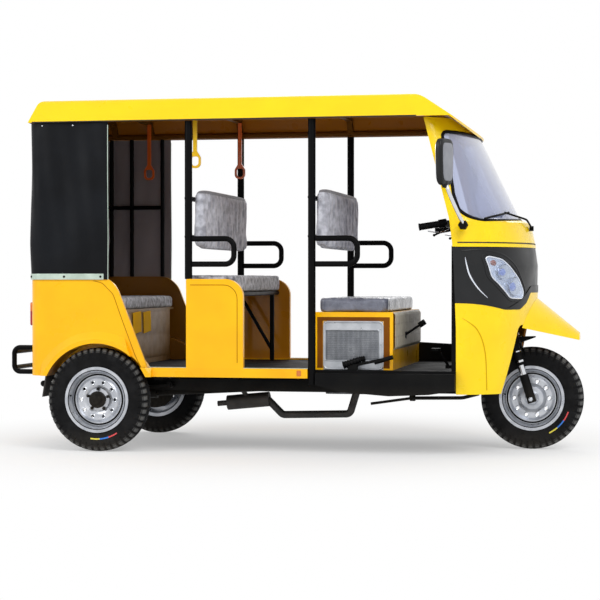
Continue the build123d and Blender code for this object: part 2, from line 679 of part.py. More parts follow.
def grab_handles():
    """Hanging hand straps, each a flat strap with a ring, under two of the bows."""
    top = ROOF_TOP - ROOF_WALL - 2 * SEAT_GAP - 25
    neck, ring, low = ROOF_TOP - 268, ROOF_TOP - 300, ROOF_TOP - 354
    handles = []
    for x in (BOWS_X[1] + 8, BOWS_X[2] + 14):
        for sign in (1, -1):
            y = sign * (BODY_HALF - 100)
            rows = [
                (x - 10, top), (x - 10, neck), (x - 30, ring, 20), (x - 30, low, 26), (x + 30, low, 26),
                (x + 30, ring, 20), (x + 10, neck), (x + 10, top),
            ]
            hole = [(x - 19, ring + 5, 12), (x - 19, low + 12, 17), (x + 19, low + 12, 17), (x + 19, ring + 5, 12)]
            handles.append(prism("y", rows, y - 6, y + 6) - prism("y", hole, y - 10, y + 10))
    return handles


# Front body

def front_solid(inset):
    """The front body as one closed solid, its skin moved inwards by an inset."""
    faces = []
    for z, rear, nose, half in FRONT_LEVELS:
        width = half - inset
        curve = EllipticalCenterArc((rear, 0, z), nose - rear - inset, width, start_angle=-90, arc_size=180)
        back = [Line((rear, width, z), (rear, -width, z))]
        if inset > 0:
            back = [Polyline((rear, width, z), (rear - 1, width, z), (rear - 1, -width, z), (rear, -width, z))]
        faces.append(make_face([curve] + back))
    return loft(faces, ruled=True)


def front_shell(inset, wall):
    """A shell of the front body, open at the back."""
    return front_solid(inset) - front_solid(inset + wall)


def mirrored_rows(rows):
    """Outline rows given for the right side, closed by their mirror image."""
    return rows + [(-row[0],) + tuple(row[1:]) for row in rows[::-1]]


def through(rows, shrink=0.0):
    """A front-view outline carried through the front body."""
    radii = [row[2] if len(row) > 2 else 0 for row in rows]
    wire = FilletPolyline(*[(1500, row[0], row[1]) for row in rows], radius=radii, close=True)
    face = make_face(wire)
    if shrink:
        face = offset(face, amount=-shrink)
    return extrude(face, amount=900, dir=(1, 0, 0))


def across(rows):
    """Front-view rows drawn for a body 1200 wide, with their Y carried to this body's width."""
    return [(row[0] * BODY_HALF / 600.0,) + tuple(row[1:]) for row in rows]


# Front-view outlines, right side: (Y, Z) or (Y, Z, corner radius)
MASK_OUTLINE = mirrored_rows(across([(-640, MASK_TOP), (-640, 777), (-526, 755, 200), (-415, 728, 60),
                                     (-300, 775, 60), (-190, 840, 60), (-60, 846)]))
GLASS_OUTLINE = mirrored_rows(across([(-518, ROOF_LOW - 70, 30), (-545, 1300, 300), (-546, 1170, 60), (-60, 1186)]))
LAMP_OUTLINE = across([(-512, 997, 12), (-440, 978, 60), (-330, 880, 60), (-282, 815, 30), (-296, 782, 20),
                       (-395, 786, 40), (-490, 890, 60)])
WHEEL_WELL = mirrored_rows([(-434, 300), (-326, 650, 40)])


def below_roof(shape):
    """The part of a shape that lies under the roof's skin."""
    rear, gap = 1500, ROOF_WALL + SEAT_GAP
    corner, foot = under_visor(gap, ROOF_LOW)[-1], under_visor(gap, HEADER_Z)[-1]
    rows = [(rear, 200), (rear, ROOF_LOW), corner, foot, (2400, HEADER_Z), (2400, 200)]
    return shape & prism("y", rows, -REACH, REACH)


def windscreen_surround():
    """Upper cowl band, pillars and header in one pressing, with the screen opening cut."""
    shell = front_shell(0, COWL_WALL) & block((1500, 2400), (-REACH, REACH), (MASK_TOP + FIT, ROOF_LOW + 1))
    return below_roof(shell - through(GLASS_OUTLINE))


def windscreen():
    """Curved glass in the surround's opening."""
    return below_roof(front_shell(GLASS_INSET, GLASS_T) & through(GLASS_OUTLINE, FIT))


def cowl_lower():
    """Lower cowl, with the wheel well and the mask's place cut."""
    shell = front_shell(0, COWL_WALL) & block((1500, 2400), (-REACH, REACH), (0, MASK_TOP - 60))
    return shell - through(MASK_OUTLINE) - through(WHEEL_WELL)


def cowl_mask():
    """Black mask between the band and the lower cowl, open at the lamps."""
    mask = front_shell(MASK_INSET, MASK_WALL) & through(MASK_OUTLINE, FIT)
    lamp = through(LAMP_OUTLINE)
    return mask - lamp - mirror(lamp, about=Plane.XZ)


def headlamps():
    """Lamp units: lens and bowl as one closed block in the mask's openings."""
    depth = 70
    block_ = front_solid(0) - front_solid(depth)
    lamp = (block_ & through(LAMP_OUTLINE, FIT)) & block((1900, 2400), (-700, 0), (700, 1100))
    return both(lamp)


def leg_shield():
    """Inner bulkhead and dash shelf behind the cowl, with a hole round the steering stem."""
    space = front_solid(MASK_INSET + MASK_WALL + FIT)
    wall = space & block((BULKHEAD_X, BULKHEAD_X + BULKHEAD_T), (-REACH, REACH), (FLOOR_TOP - FLOOR_T, DASH_Z + 5))
    out = BODY_HALF - 64
    edges = both(block((BULKHEAD_X - 24, BULKHEAD_X + 2), (-out, 22 - out), (FLOOR_TOP + SEAT_GAP, DASH_Z + 5)))
    shelf = space & block((BULKHEAD_X - 14, 2400), (-REACH, REACH), (DASH_Z, DASH_Z + DASH_T))
    return joined(wall, shelf, edges) - bar(on_steering(780), on_steering(860), STEM_R + 9)


def front_mudguard():
    """Beak over the front wheel: an arched channel that narrows to its tip."""
    def section(x, half, low, high, inset):
        w, z = half - inset, high - inset
        if not inset:
            return make_face([ThreePointArc((x, -w, low), (x, 0, z), (x, w, low)), Line((x, w, low), (x, -w, low))])
        return make_face([
            ThreePointArc((x, -w, low), (x, 0, z), (x, w, low)),
            Polyline((x, w, low), (x, w, low - 40), (x, -w, low - 40), (x, -w, low)),
        ])
    root, tip = (2080, 340, 648, 874), (BEAK_X, 75, 568, 605)
    outer = loft([section(*root, 0), section(*tip, 0)], ruled=True)
    inner = loft([section(*root, 8), section(tip[0] - 6, tip[1], tip[2], tip[3], 8)], ruled=True)
    return (outer - inner) - front_solid(-SEAT_GAP)


def front_surface_x(y, z, out=0.0):
    """X of the front body's skin at a side and a height, moved outwards."""
    for low, high in zip(FRONT_LEVELS, FRONT_LEVELS[1:]):
        if low[0] <= z <= high[0]:
            t = (z - low[0]) / (high[0] - low[0])
            rear, nose, half = [a + (b - a) * t for a, b in zip(low[1:], high[1:])]
            return rear + (nose - rear + out) * math.sqrt(1 - (y / (half + out)) ** 2)
    raise ValueError("height outside the front body")


def wiper():
    """Wiper arm and blade, parked across the foot of the screen."""
    def over_skin(rows):
        return [(front_surface_x(y, z, out), y, z) for y, z, out in rows]
    arm = over_skin([(-110, 1140, 16), (-220, 1182, 64), (-330, 1215, 18)])
    blade = over_skin([(-290, 1216, 20), (-400, 1200, 20), (-500, 1180, 20)])
    foot = (front_surface_x(-110, 1140, 3.5), -110, 1140)
    return joined(tube(arm, 10, 60), tube(blade, 11, 150), bar(foot, (arm[0][0] + 8, -110, 1140), 13))


def mirrors():
    """Door mirrors: base knob, bent arm and housing."""
    y = -BODY_HALF
    knob = bar((1869, y + 46.8, 1145), (1869, y + 10, 1145), 17)
    arm = tube([(1869, y + 25, 1145), (1866, y - 40, 1175), (1812, y - 82, 1290), (1790, y - 90, 1360)], 10, 20)
    head = pad((-20, 20, -115, 115, 75), 15)
    head = Pos(1785, y - 80, 1450) * Rot(0, 0, 40) * head
    return both(joined(knob, arm, head))


# Controls

def floor_controls():
    """Gear lever, handbrake, brake pedal and the linkage rods under the floor."""
    front = SEAT_BOX[1] + SEAT_GAP
    gear = joined(bar((front, -100, 590), (front + 12, -100, 590), 20),
                  bar((front + 5, -100, 590), (front + 92, -100, 648), 6),
                  bar((front + 80, -100, 640), (front + 110, -100, 660), 15))
    y = 70 - BODY_HALF
    foot = FLOOR_TOP + SEAT_GAP
    brake = joined(block((1285, 1335), (y - 10, y + 10), (foot, foot + 30), 4),
                   bar((1300, y, foot + 20), (front + 1, y, 491), 7), bar((1420, y, 464), (front + 4, y, 492), 11))
    pedal = joined(block((1740, 1770), (-235, -205), (foot, foot + 16), 4),
                   bar((1757, -220, foot + 8), (1700, -220, 520), 7),
                   block((1668, 1712), (-255, -185), (512, 526), 8))
    rod_y = -RAIL_Y - 50
    bracket = block((1585, 1609), (rod_y - 2, -RAIL_Y - RAIL_W / 2 - SEAT_GAP), (268, 330))
    rods = joined(bracket, bar((1386, rod_y, 252), (1597, rod_y, 283), 7),
                  bar((1590, rod_y - 8, 283), (1604, rod_y + 8, 283), 14),
                  tube([(1597, rod_y, 283), (1850, rod_y, 287), (1926, rod_y + 40, 306)], 18, 60))
    return [gear, brake, pedal, rods]


def nodes():
    """Every node's name with its solids."""
    parts = wheels()
    parts.update({
        "front_fork": front_fork(), "handlebar": handlebar(), "handlebar_grips": handlebar_grips(),
        "chassis_frame": chassis_frame(), "rear_axle": rear_axle(), "rear_suspension": rear_suspension(),
        "engine": engine(), "prop_shaft": prop_shaft(), "exhaust": exhaust(), "radiator": radiator(),
        "floor_deck": floor_deck(), "side_sills": side_sills(), "front_sills": front_sills(),
        "rear_side_panels": both(rear_side_panel()), "rear_panel": rear_panel(),
        "mid_side_panels": mid_side_panels(), "rear_bumper": rear_bumper(), "mud_flaps": mud_flaps(),
        "tail_lamps": tail_lamps(), "rear_seat_base": rear_seat_base(), "rear_seat_cushion": pad(REAR_CUSHION, 20),
        "rear_backrest": pad(REAR_BACK, 20),
        "mid_seat_frame": mid_seat_frame(), "mid_seat_cushion": pad(MID_CUSHION, 20),
        "mid_backrest": backrest(POST_X["mid"] + 4), "driver_seat_box": driver_seat_box(),
        "driver_seat_cushion": pad(DRIVER_CUSHION, 20), "driver_backrest": backrest(POST_X["driver"] + 4),
        "upright_frame": upright_frame(), "armrests": armrests(), "curtain_frame": curtain_frame(),
        "curtain": curtain(), "grab_handles": grab_handles(), "roof": roof(),
        "windscreen_surround": windscreen_surround(), "windscreen": windscreen(), "cowl_lower": cowl_lower(),
        "cowl_mask": cowl_mask(), "headlamps": headlamps(), "leg_shield": leg_shield(),
        "front_mudguard": front_mudguard(), "wiper": wiper(), "mirrors": mirrors(),
        "floor_controls": floor_controls(),
    })
    return parts


def main():
    """Write one STEP file for each node, with the origin under the middle of the vehicle."""
    os.makedirs("parts", exist_ok=True)
    for name, shape in nodes().items():
        solids = []
        for piece in shape if isinstance(shape, list) else [shape]:
            solids += (Pos(-MIDDLE_X, 0, 0) * piece).solids()
        export_step(solids[0] if len(solids) == 1 else Compound(children=solids), f"parts/{name}.step")


if __name__ == "__main__":
    main()
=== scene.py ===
"""Dresses the auto rickshaw: materials on the fixed frame, and the detailed pieces that stand on it.

Sizes are millimetres, with X from the rear axle and Z from the ground, until place() turns them
into metres of the part's own frame.
"""

from __future__ import annotations

import json
import logging
import math
from dataclasses import dataclass, replace
from enum import Enum
from typing import Iterable, Sequence

import bmesh
import bpy
import numpy as np
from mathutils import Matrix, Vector

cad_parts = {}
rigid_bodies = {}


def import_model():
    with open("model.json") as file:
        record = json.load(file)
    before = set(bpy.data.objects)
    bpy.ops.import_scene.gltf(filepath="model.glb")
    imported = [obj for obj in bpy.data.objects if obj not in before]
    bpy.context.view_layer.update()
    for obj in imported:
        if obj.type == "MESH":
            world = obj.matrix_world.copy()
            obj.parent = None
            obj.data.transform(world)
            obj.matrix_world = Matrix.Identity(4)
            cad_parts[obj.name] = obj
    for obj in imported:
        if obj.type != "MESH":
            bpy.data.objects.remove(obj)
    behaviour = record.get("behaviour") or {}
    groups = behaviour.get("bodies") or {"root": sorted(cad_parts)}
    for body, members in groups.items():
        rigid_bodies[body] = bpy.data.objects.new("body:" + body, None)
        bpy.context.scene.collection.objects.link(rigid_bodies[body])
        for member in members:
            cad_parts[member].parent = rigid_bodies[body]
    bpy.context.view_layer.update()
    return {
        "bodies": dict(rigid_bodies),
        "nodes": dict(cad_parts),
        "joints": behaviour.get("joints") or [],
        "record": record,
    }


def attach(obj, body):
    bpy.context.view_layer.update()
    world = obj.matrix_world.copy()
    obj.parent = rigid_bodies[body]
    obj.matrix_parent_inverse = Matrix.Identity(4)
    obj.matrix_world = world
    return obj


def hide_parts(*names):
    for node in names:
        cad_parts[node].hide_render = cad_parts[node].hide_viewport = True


log = logging.getLogger("rickshaw")

AXLE_TO_ORIGIN = 959.0
MM = 0.001

# Sizes shared by the sub-assemblies
WHEELBASE = 2167.0
TYRE_R = 265.0
WHEEL_Y = 560.0
POST_Y = 579.5
POST_X = (476.0, 1111.0)
RAKE = math.radians(17.5)
# The front body's half ellipses: height, x of the rear edge, x of the nose, half width
FRONT_LEVELS = np.array([
    (310.0, 1829.0, 2175.0, 545.0),
    (640.0, 1829.0, 2190.0, 555.0),
    (950.0, 1818.0, 2196.0, 560.0),
    (1060.0, 1810.0, 2180.0, 560.0),
    (1165.0, 1797.0, 2157.0, 558.0),
    (1185.0, 1793.0, 2105.0, 557.0),
    (1682.0, 1666.0, 1861.0, 544.5),
])


# ---------------------------------------------------------------- colour and nodes

def linear(colour: str) -> tuple[float, float, float, float]:
    """An sRGB hex colour as linear RGBA: below 0.04045 divided by 12.92, above it a power of 2.4.

    Args:
        colour: "#RRGGBB".

    Returns:
        Red, green, blue and 1 in linear light.
    """
    code = colour.lstrip("#")
    parts = [int(code[i:i + 2], 16) / 255 for i in (0, 2, 4)]
    return tuple(c / 12.92 if c <= 0.04045 else ((c + 0.055) / 1.055) ** 2.4 for c in parts) + (1.0,)


def add_node(tree: bpy.types.NodeTree, kind: str, settings: dict | None = None,
             **inputs: object) -> bpy.types.Node:
    """Adds a node with its settings and links.

    Args:
        tree: the node tree.
        kind: the node's type, without its ShaderNode prefix.
        settings: attributes to set on the node.
        inputs: input name with underscores for spaces, or i and a number, to a value or an output socket.

    Returns:
        The new node.
    """
    node = tree.nodes.new("ShaderNode" + kind)
    for key, value in (settings or {}).items():
        setattr(node, key, value)
    for key, value in inputs.items():
        numbered = key[0] == "i" and key[1:].isdigit()
        socket = node.inputs[int(key[1:])] if numbered else node.inputs[key.replace("_", " ")]
        if isinstance(value, bpy.types.NodeSocket):
            tree.links.new(value, socket)
        else:
            socket.default_value = value
    return node


class Grain(Enum):
    """What a surface's fine relief is made of."""

    NONE = "none"
    PEEL = "peel"
    WEAVE = "weave"
    RIBS = "ribs"
    CHEQUER = "chequer"
    HIDE = "hide"


class Pick(Enum):
    """Where a finish changes to its second colour."""

    NOWHERE = "nowhere"
    INWARD = "inward"
    ABOVE = "above"
    LEFT = "left"
    RAISED = "raised"


@dataclass(frozen=True)
class Finish:
    """A surface finish, built as a node material.

    The colour drifts to shade over patches of shade_mm; grain is a bump of grain_depth millimetres
    at grain_mm; the faces chosen by pick take the other colour.
    """

    name: str
    colour: str
    shade: str = ""
    shade_mm: float = 180.0
    roughness: float = 0.4
    uneven: float = 0.08
    metallic: float = 0.0
    coat: float = 0.0
    sheen: float = 0.0
    ior: float = 1.5
    grain: Grain = Grain.NONE
    grain_mm: float = 3.0
    grain_depth: float = 0.05
    other: str = ""
    pick: Pick = Pick.NOWHERE
    pick_at: tuple[float, float, float] = (0.0, 0.0, 0.0)
    dust: str = ""
    dust_top: float = 0.3

    def build(self) -> bpy.types.Material:
        """Builds the material.

        Returns:
            The node material.
        """
        made = bpy.data.materials.new(self.name)
        made.use_nodes = True
        tree = made.node_tree
        tree.nodes.clear()
        where = add_node(tree, "TexCoord").outputs["Object"]
        shader = add_node(
            tree, "BsdfPrincipled", Metallic=self.metallic, Coat_Weight=self.coat, Coat_Roughness=0.06,
            Sheen_Weight=self.sheen, Sheen_Roughness=0.4,
        )
        if not self.metallic:
            shader.inputs["IOR"].default_value = self.ior
        tree.links.new(self._colour(tree, where), shader.inputs["Base Color"])
        smudge = add_node(tree, "TexNoise", Vector=where, Scale=1 / (0.6 * self.shade_mm * MM), Detail=4.0)
        spread = add_node(
            tree, "MapRange", Value=smudge.outputs["Fac"], From_Min=0.3, From_Max=0.7,
            To_Min=max(0.02, self.roughness - self.uneven), To_Max=min(1.0, self.roughness + self.uneven),
        )
        tree.links.new(spread.outputs["Result"], shader.inputs["Roughness"])
        if self.grain is not Grain.NONE:
            relief = add_node(
                tree, "Bump", Strength=1.0, Distance=self.grain_depth * MM, Height=self._grain(tree, where))
            tree.links.new(relief.outputs["Normal"], shader.inputs["Normal"])
        add_node(tree, "OutputMaterial", Surface=shader.outputs["BSDF"])
        return made

    def _colour(self, tree: bpy.types.NodeTree, where: bpy.types.NodeSocket) -> bpy.types.NodeSocket:
        """The base colour: shade by slow noise, the other colour by rule, then dust that fades upwards.

        Args:
            tree: the node tree that is being built.
            where: the place's socket, in object coordinates.

        Returns:
            The colour's socket.
        """
        drift = add_node(tree, "TexNoise", Vector=where, Scale=1 / (self.shade_mm * MM), Detail=3.0)
        share = add_node(tree, "MapRange", Value=drift.outputs["Fac"], From_Min=0.35, From_Max=0.65)
        mixed = add_node(
            tree, "Mix", {"data_type": "RGBA"}, i0=share.outputs["Result"], i6=linear(self.colour),
            i7=linear(self.shade or self.colour))
        result = mixed.outputs[2]
        if self.pick is not Pick.NOWHERE:
            result = add_node(
                tree, "Mix", {"data_type": "RGBA"}, i0=self._picked(tree, where), i6=result,
                i7=linear(self.other)).outputs[2]
        if self.dust:
            height = add_node(tree, "SeparateXYZ", Vector=where).outputs["Z"]
            fade = add_node(tree, "MapRange", Value=height, From_Min=0.0, From_Max=self.dust_top,
                            To_Min=0.55, To_Max=0.0)
            speck = add_node(tree, "TexNoise", Vector=where, Scale=60.0, Detail=6.0)
            amount = add_node(tree, "Math", {"operation": "MULTIPLY"}, i0=fade.outputs["Result"],
                              i1=speck.outputs["Fac"])
            result = add_node(tree, "Mix", {"data_type": "RGBA"}, i0=amount.outputs[0], i6=result,
                              i7=linear(self.dust)).outputs[2]
        return result

    def _picked(self, tree: bpy.types.NodeTree, where: bpy.types.NodeSocket) -> bpy.types.NodeSocket:
        """1 where the other colour shows: by the point attribute, by facing, or by place.

        Args:
            tree: the node tree that is being built.
            where: the place's socket, in object coordinates.

        Returns:
            A socket that is 1 on the chosen faces and 0 elsewhere.
        """
        if self.pick is Pick.RAISED:
            return add_node(tree, "Attribute", {"attribute_name": "raised"}).outputs["Fac"]
        if self.pick is Pick.INWARD:
            arm = add_node(tree, "VectorMath", {"operation": "SUBTRACT"}, i0=where, i1=self.pick_at)
            facing = add_node(tree, "VectorMath", {"operation": "DOT_PRODUCT"}, i0=arm.outputs[0],
                              i1=add_node(tree, "TexCoord").outputs["Normal"])
            return add_node(tree, "Math", {"operation": "LESS_THAN"}, i0=facing.outputs["Value"],
                            i1=0.0).outputs[0]
        split = add_node(tree, "SeparateXYZ", Vector=where)
        axis, level = ("Z", self.pick_at[2]) if self.pick is Pick.ABOVE else ("Y", self.pick_at[1])
        return add_node(tree, "Math", {"operation": "GREATER_THAN"}, i0=split.outputs[axis],
                        i1=level).outputs[0]

    def _grain(self, tree: bpy.types.NodeTree, where: bpy.types.NodeSocket) -> bpy.types.NodeSocket:
        """The height field of the surface's fine relief.

        Args:
            tree: the node tree that is being built.
            where: the place's socket, in object coordinates.

        Returns:
            The height's socket.
        """
        scale = 1 / (self.grain_mm * MM)
        if self.grain is Grain.WEAVE:
            bands = [
                add_node(tree, "TexWave", {"bands_direction": way}, Vector=where, Scale=scale / 6.28,
                         Distortion=0.6, Detail=1.0).outputs["Fac"]
                for way in ("X", "Y", "Z")
            ]
            pair = add_node(tree, "Math", {"operation": "MAXIMUM"}, i0=bands[0], i1=bands[2])
            return add_node(tree, "Math", {"operation": "ADD"}, i0=pair.outputs[0], i1=bands[1]).outputs[0]
        if self.grain is Grain.RIBS:
            return add_node(tree, "TexWave", {"bands_direction": "Y"}, Vector=where, Scale=scale / 6.28,
                            Distortion=0.0).outputs["Fac"]
        if self.grain in (Grain.CHEQUER, Grain.HIDE):
            cells = add_node(tree, "TexVoronoi", {"feature": "DISTANCE_TO_EDGE"}, Vector=where, Scale=scale,
                             Randomness=0.0 if self.grain is Grain.CHEQUER else 1.0)
            edge = add_node(tree, "MapRange", Value=cells.outputs["Distance"], From_Max=0.15)
            return edge.outputs["Result"]
        return add_node(tree, "TexNoise", Vector=where, Scale=scale, Detail=2.0).outputs["Fac"]


# ---------------------------------------------------------------- surfaces

Rows = tuple[np.ndarray, list]


def place(points: np.ndarray) -> np.ndarray:
    """Millimetres from the rear axle, as metres in the part's frame.

    Args:
        points: rows of x, y and z in millimetres from the rear axle.

    Returns:
        The same in metres, from the origin.
    """
    moved = np.array(points, float)
    moved[..., 0] -= AXLE_TO_ORIGIN
    return moved * MM


def unit(vectors: np.ndarray) -> np.ndarray:
    """Vectors divided by their lengths.

    Args:
        vectors: any array with the coordinates last.

    Returns:
        Vectors of length 1.
    """
    return vectors / np.linalg.norm(vectors, axis=-1, keepdims=True)


def ramp(values: np.ndarray) -> np.ndarray:
    """Cuts values to the range from 0 to 1.

    Args:
        values: any numbers.

    Returns:
        The same, none below 0 or above 1.
    """
    return np.clip(values, 0, 1)


def stacked(x: np.ndarray | float, y: np.ndarray | float, z: np.ndarray | float) -> np.ndarray:
    """Joins three coordinates into points.

    Args:
        x: ahead, in any shape that broadcasts with the others.
        y: to the left.
        z: up.

    Returns:
        An array of the shared shape, with the three coordinates last.
    """
    return np.stack(np.broadcast_arrays(x, y, z), -1)


def on_axis(axis: str, u: np.ndarray, v: np.ndarray, w: np.ndarray) -> np.ndarray:
    """Lays points along an axis.

    Args:
        axis: "x", "y" or "z".
        u: the first of the other two coordinates.
        v: the second.
        w: the coordinate along the axis.

    Returns:
        The points.
    """
    return np.stack({"x": (w, u, v), "y": (u, w, v), "z": (u, v, w)}[axis], -1)


def quads(rows: int, columns: int, wrap_rows: bool, wrap_columns: bool) -> list:
    """Faces of a grid of points, numbered row by row; a wrapped way joins its last line to its first.

    Args:
        rows: how many rows of points.
        columns: how many points in a row.
        wrap_rows: whether the last row joins the first.
        wrap_columns: whether a row's last point joins its first.

    Returns:
        Four point numbers for each face.
    """
    i, j = np.meshgrid(np.arange(rows if wrap_rows else rows - 1),
                       np.arange(columns if wrap_columns else columns - 1), indexing="ij")
    below, right = (i + 1) % rows, (j + 1) % columns
    corners = (i * columns + j, i * columns + right, below * columns + right, below * columns + j)
    return np.stack(corners, -1).reshape(-1, 4).tolist()


def caps(rows: int, columns: int) -> list:
    """The two end faces of a grid that wraps round, over its first and its last row.

    Args:
        rows: how many rows of points.
        columns: how many points in a row.

    Returns:
        Two faces, over the first row and the last.
    """
    return [list(range(columns))[::-1], [(rows - 1) * columns + k for k in range(columns)]]


def smooth(points: Sequence, count: int = 48, closed: bool = False) -> np.ndarray:
    """A Catmull-Rom curve: each span is the cubic through its ends with its neighbours' chord as slope.

    Args:
        points: the points that the curve goes through.
        count: how many points to return.
        closed: whether the curve returns to its start.

    Returns:
        An array of count points.
    """
    p = np.asarray(points, float)
    if closed:
        p = np.concatenate([p[-1:], p, p[:2]])
    else:
        p = np.concatenate([2 * p[:1] - p[1:2], p, 2 * p[-1:] - p[-2:-1]])
    spans = len(p) - 3
    t = np.linspace(0, spans, count, endpoint=not closed)
    i = np.minimum(t.astype(int), spans - 1)
    u = (t - i)[:, None]
    a, b, c, d = p[i], p[i + 1], p[i + 2], p[i + 3]
    return 0.5 * (2 * b + (c - a) * u + (2 * a - 5 * b + 4 * c - d) * u**2 + (3 * b - a - 3 * c + d) * u**3)


def rounded(rows: Sequence, steps: int = 8, closed: bool = True) -> np.ndarray:
    """An outline of (u, v) or (u, v, radius) rows with each radius drawn as a tangent arc.

    Each arc's centre lies on the corner's bisector at radius over the sine of half the corner's angle.

    Args:
        rows: corners, each with a radius where it is rounded.
        steps: how many points to an arc.
        closed: whether the last corner joins the first.

    Returns:
        The points in order.
    """
    out = []
    for n, row in enumerate(rows):
        here = np.array(row[:2], float)
        radius = row[2] if len(row) > 2 else 0.0
        if not radius or (not closed and n in (0, len(rows) - 1)):
            out.append(here[None])
            continue
        before = unit(np.array(rows[n - 1][:2], float) - here)
        after = unit(np.array(rows[(n + 1) % len(rows)][:2], float) - here)
        half = math.acos(max(-1.0, min(1.0, float(before @ after)))) / 2
        centre = here + unit(before + after) * radius / math.sin(half)
        first = here + before * radius / math.tan(half) - centre
        last = here + after * radius / math.tan(half) - centre
        turn = math.atan2(first[0] * last[1] - first[1] * last[0], first @ last)
        angle = np.linspace(0, turn, steps)[:, None]
        normal = np.array([-first[1], first[0]])
        out.append(centre + first * np.cos(angle) + normal * np.sin(angle))
    return np.concatenate(out)


def even(points: np.ndarray, count: int, closed: bool = False) -> np.ndarray:
    """The same line with its points spread evenly along its length.

    Args:
        points: the line.
        count: how many points to lay.
        closed: whether the line closes.

    Returns:
        Points at equal steps along it.
    """
    p = np.concatenate([points, points[:1]]) if closed else points
    run = np.concatenate([[0], np.cumsum(np.linalg.norm(np.diff(p, axis=0), axis=1))])
    at = np.linspace(0, run[-1], count, endpoint=not closed)
    return np.stack([np.interp(at, run, p[:, k]) for k in range(p.shape[1])], -1)


def circle(radius: float, sides: int = 12) -> np.ndarray:
    """A circle's points.

    Args:
        radius: its radius.
        sides: how many points.

    Returns:
        The points in order.
    """
    a = np.linspace(0, 2 * math.pi, sides, endpoint=False)
    return np.stack([radius * np.cos(a), radius * np.sin(a)], -1)


def oblong(width: float, height: float, square: float = 4.0, sides: int = 20) -> np.ndarray:
    """A superellipse of that width and height: the higher square is, the sharper its corners.

    Args:
        width: size across.
        height: size up.
        square: the power, where 2 is an ellipse.
        sides: how many points.

    Returns:
        The points in order.
    """
    a = np.linspace(0, 2 * math.pi, sides, endpoint=False) + math.pi / sides
    c, s = np.cos(a), np.sin(a)
    return np.stack([width / 2 * np.sign(c) * abs(c) ** (2 / square),
                     height / 2 * np.sign(s) * abs(s) ** (2 / square)], -1)


def carried(path: Sequence, profile: np.ndarray, up: Sequence = (0, 0, 1), closed: bool = False,
            grow: np.ndarray | None = None) -> Rows:
    """A closed profile carried along a path.

    A ring is the path's point, plus the profile's first number along side, which is tangent cross
    up, plus its second along side cross tangent.

    Args:
        path: points in millimetres.
        profile: closed outline, two numbers a point.
        up: one vector, or one for each path point, that is never along the path.
        closed: whether the path is a loop.
        grow: a factor on the profile for each path point.

    Returns:
        Points and faces.
    """
    path = np.asarray(path, float)
    tangent = np.roll(path, -1, 0) - np.roll(path, 1, 0) if closed else np.gradient(path, axis=0)
    tangent = unit(tangent)
    side = unit(np.cross(tangent, np.asarray(up, float)))
    lift = np.cross(side, tangent)
    scale = np.ones(len(path)) if grow is None else np.asarray(grow, float)
    shape = np.asarray(profile, float)[None] * scale[:, None, None]
    rings = path[:, None] + side[:, None] * shape[..., :1] + lift[:, None] * shape[..., 1:]
    rows, columns = rings.shape[:2]
    faces = quads(rows, columns, closed, True)
    if not closed:
        faces += caps(rows, columns)
    return rings.reshape(-1, 3), faces


def lathe(profile: Sequence, centre: Sequence, sides: int = 48, axis: str = "y",
          closed: bool = True) -> Rows:
    """A profile of (radius, distance along the axis) rows turned about the axis through centre.

    Args:
        profile: radius and distance along the axis.
        centre: a point on the axis.
        sides: how many steps round.
        axis: "x", "y" or "z".
        closed: whether the profile closes on itself.

    Returns:
        Points and faces.
    """
    rows = np.asarray(profile, float)
    a = np.linspace(0, 2 * math.pi, sides, endpoint=False)
    u, v = np.outer(np.cos(a), rows[:, 0]), np.outer(np.sin(a), rows[:, 0])
    w = np.broadcast_to(rows[:, 1], u.shape)
    points = on_axis(axis, u, v, w) + np.asarray(centre, float)
    return points.reshape(-1, 3), quads(sides, len(rows), True, closed)


def studs(places: Sequence, axis: Sequence, radius: float, height: float, sides: int = 12) -> Rows:
    """Domed heads at several places: a ring, a chamfer and a top, turned to the axis and copied.

    Args:
        places: where each stands.
        axis: the way that they point.
        radius: their radius.
        height: their height.
        sides: how many sides.

    Returns:
        Points and faces.
    """
    top = unit(np.asarray(axis, float))
    spare = np.array([0.0, 0.0, 1.0]) if abs(top[2]) < 0.9 else np.array([1.0, 0.0, 0.0])
    side = unit(np.cross(top, spare))
    lift = np.cross(top, side)
    rings = [(radius, -0.3 * height), (radius, 0.45 * height), (0.8 * radius, 0.85 * height),
             (0.4 * radius, height)]
    a = np.linspace(0, 2 * math.pi, sides, endpoint=False)
    ring = np.cos(a)[:, None] * side + np.sin(a)[:, None] * lift
    one = np.concatenate([ring * r + top * h for r, h in rings])
    spots = np.asarray(places, float)
    points = (spots[:, None] + one[None]).reshape(-1, 3)
    base = quads(len(rings), sides, False, True) + caps(len(rings), sides)
    faces = [[k + n * len(one) for k in face] for n in range(len(spots)) for face in base]
    return points, faces


def plate(outline: np.ndarray, low: float, high: float, axis: str = "y", edge: float = 1.0) -> Rows:
    """A plate with softened edges: the outline, drawn in by edge at both faces, between two levels.

    Args:
        outline: closed rows of the two numbers across the axis.
        low: where the plate starts along the axis.
        high: where it ends.
        axis: the plate's thin way.
        edge: the width of the softened edge.

    Returns:
        Points and faces.
    """
    line = np.asarray(outline, float)
    middle = line.mean(0)
    size = np.abs(line - middle).max()
    inset = middle + (line - middle) * (1 - edge / size)
    levels = [(inset, low), (line, low + edge), (line, high - edge), (inset, high)]
    count = len(line)
    rings = [on_axis(axis, rows[:, 0], rows[:, 1], np.full(count, level)) for rows, level in levels]
    return np.concatenate(rings), quads(len(levels), count, False, True) + caps(len(levels), count)


def mirrored(parts: Iterable[Rows]) -> list[Rows]:
    """Each part, and its image on the other side.

    Args:
        parts: points and faces, on the right.

    Returns:
        The same surfaces and their mirror images.
    """
    both = []
    for points, faces in parts:
        image = points * (1, -1, 1)
        both += [(points, faces), (image, [face[::-1] for face in faces])]
    return both


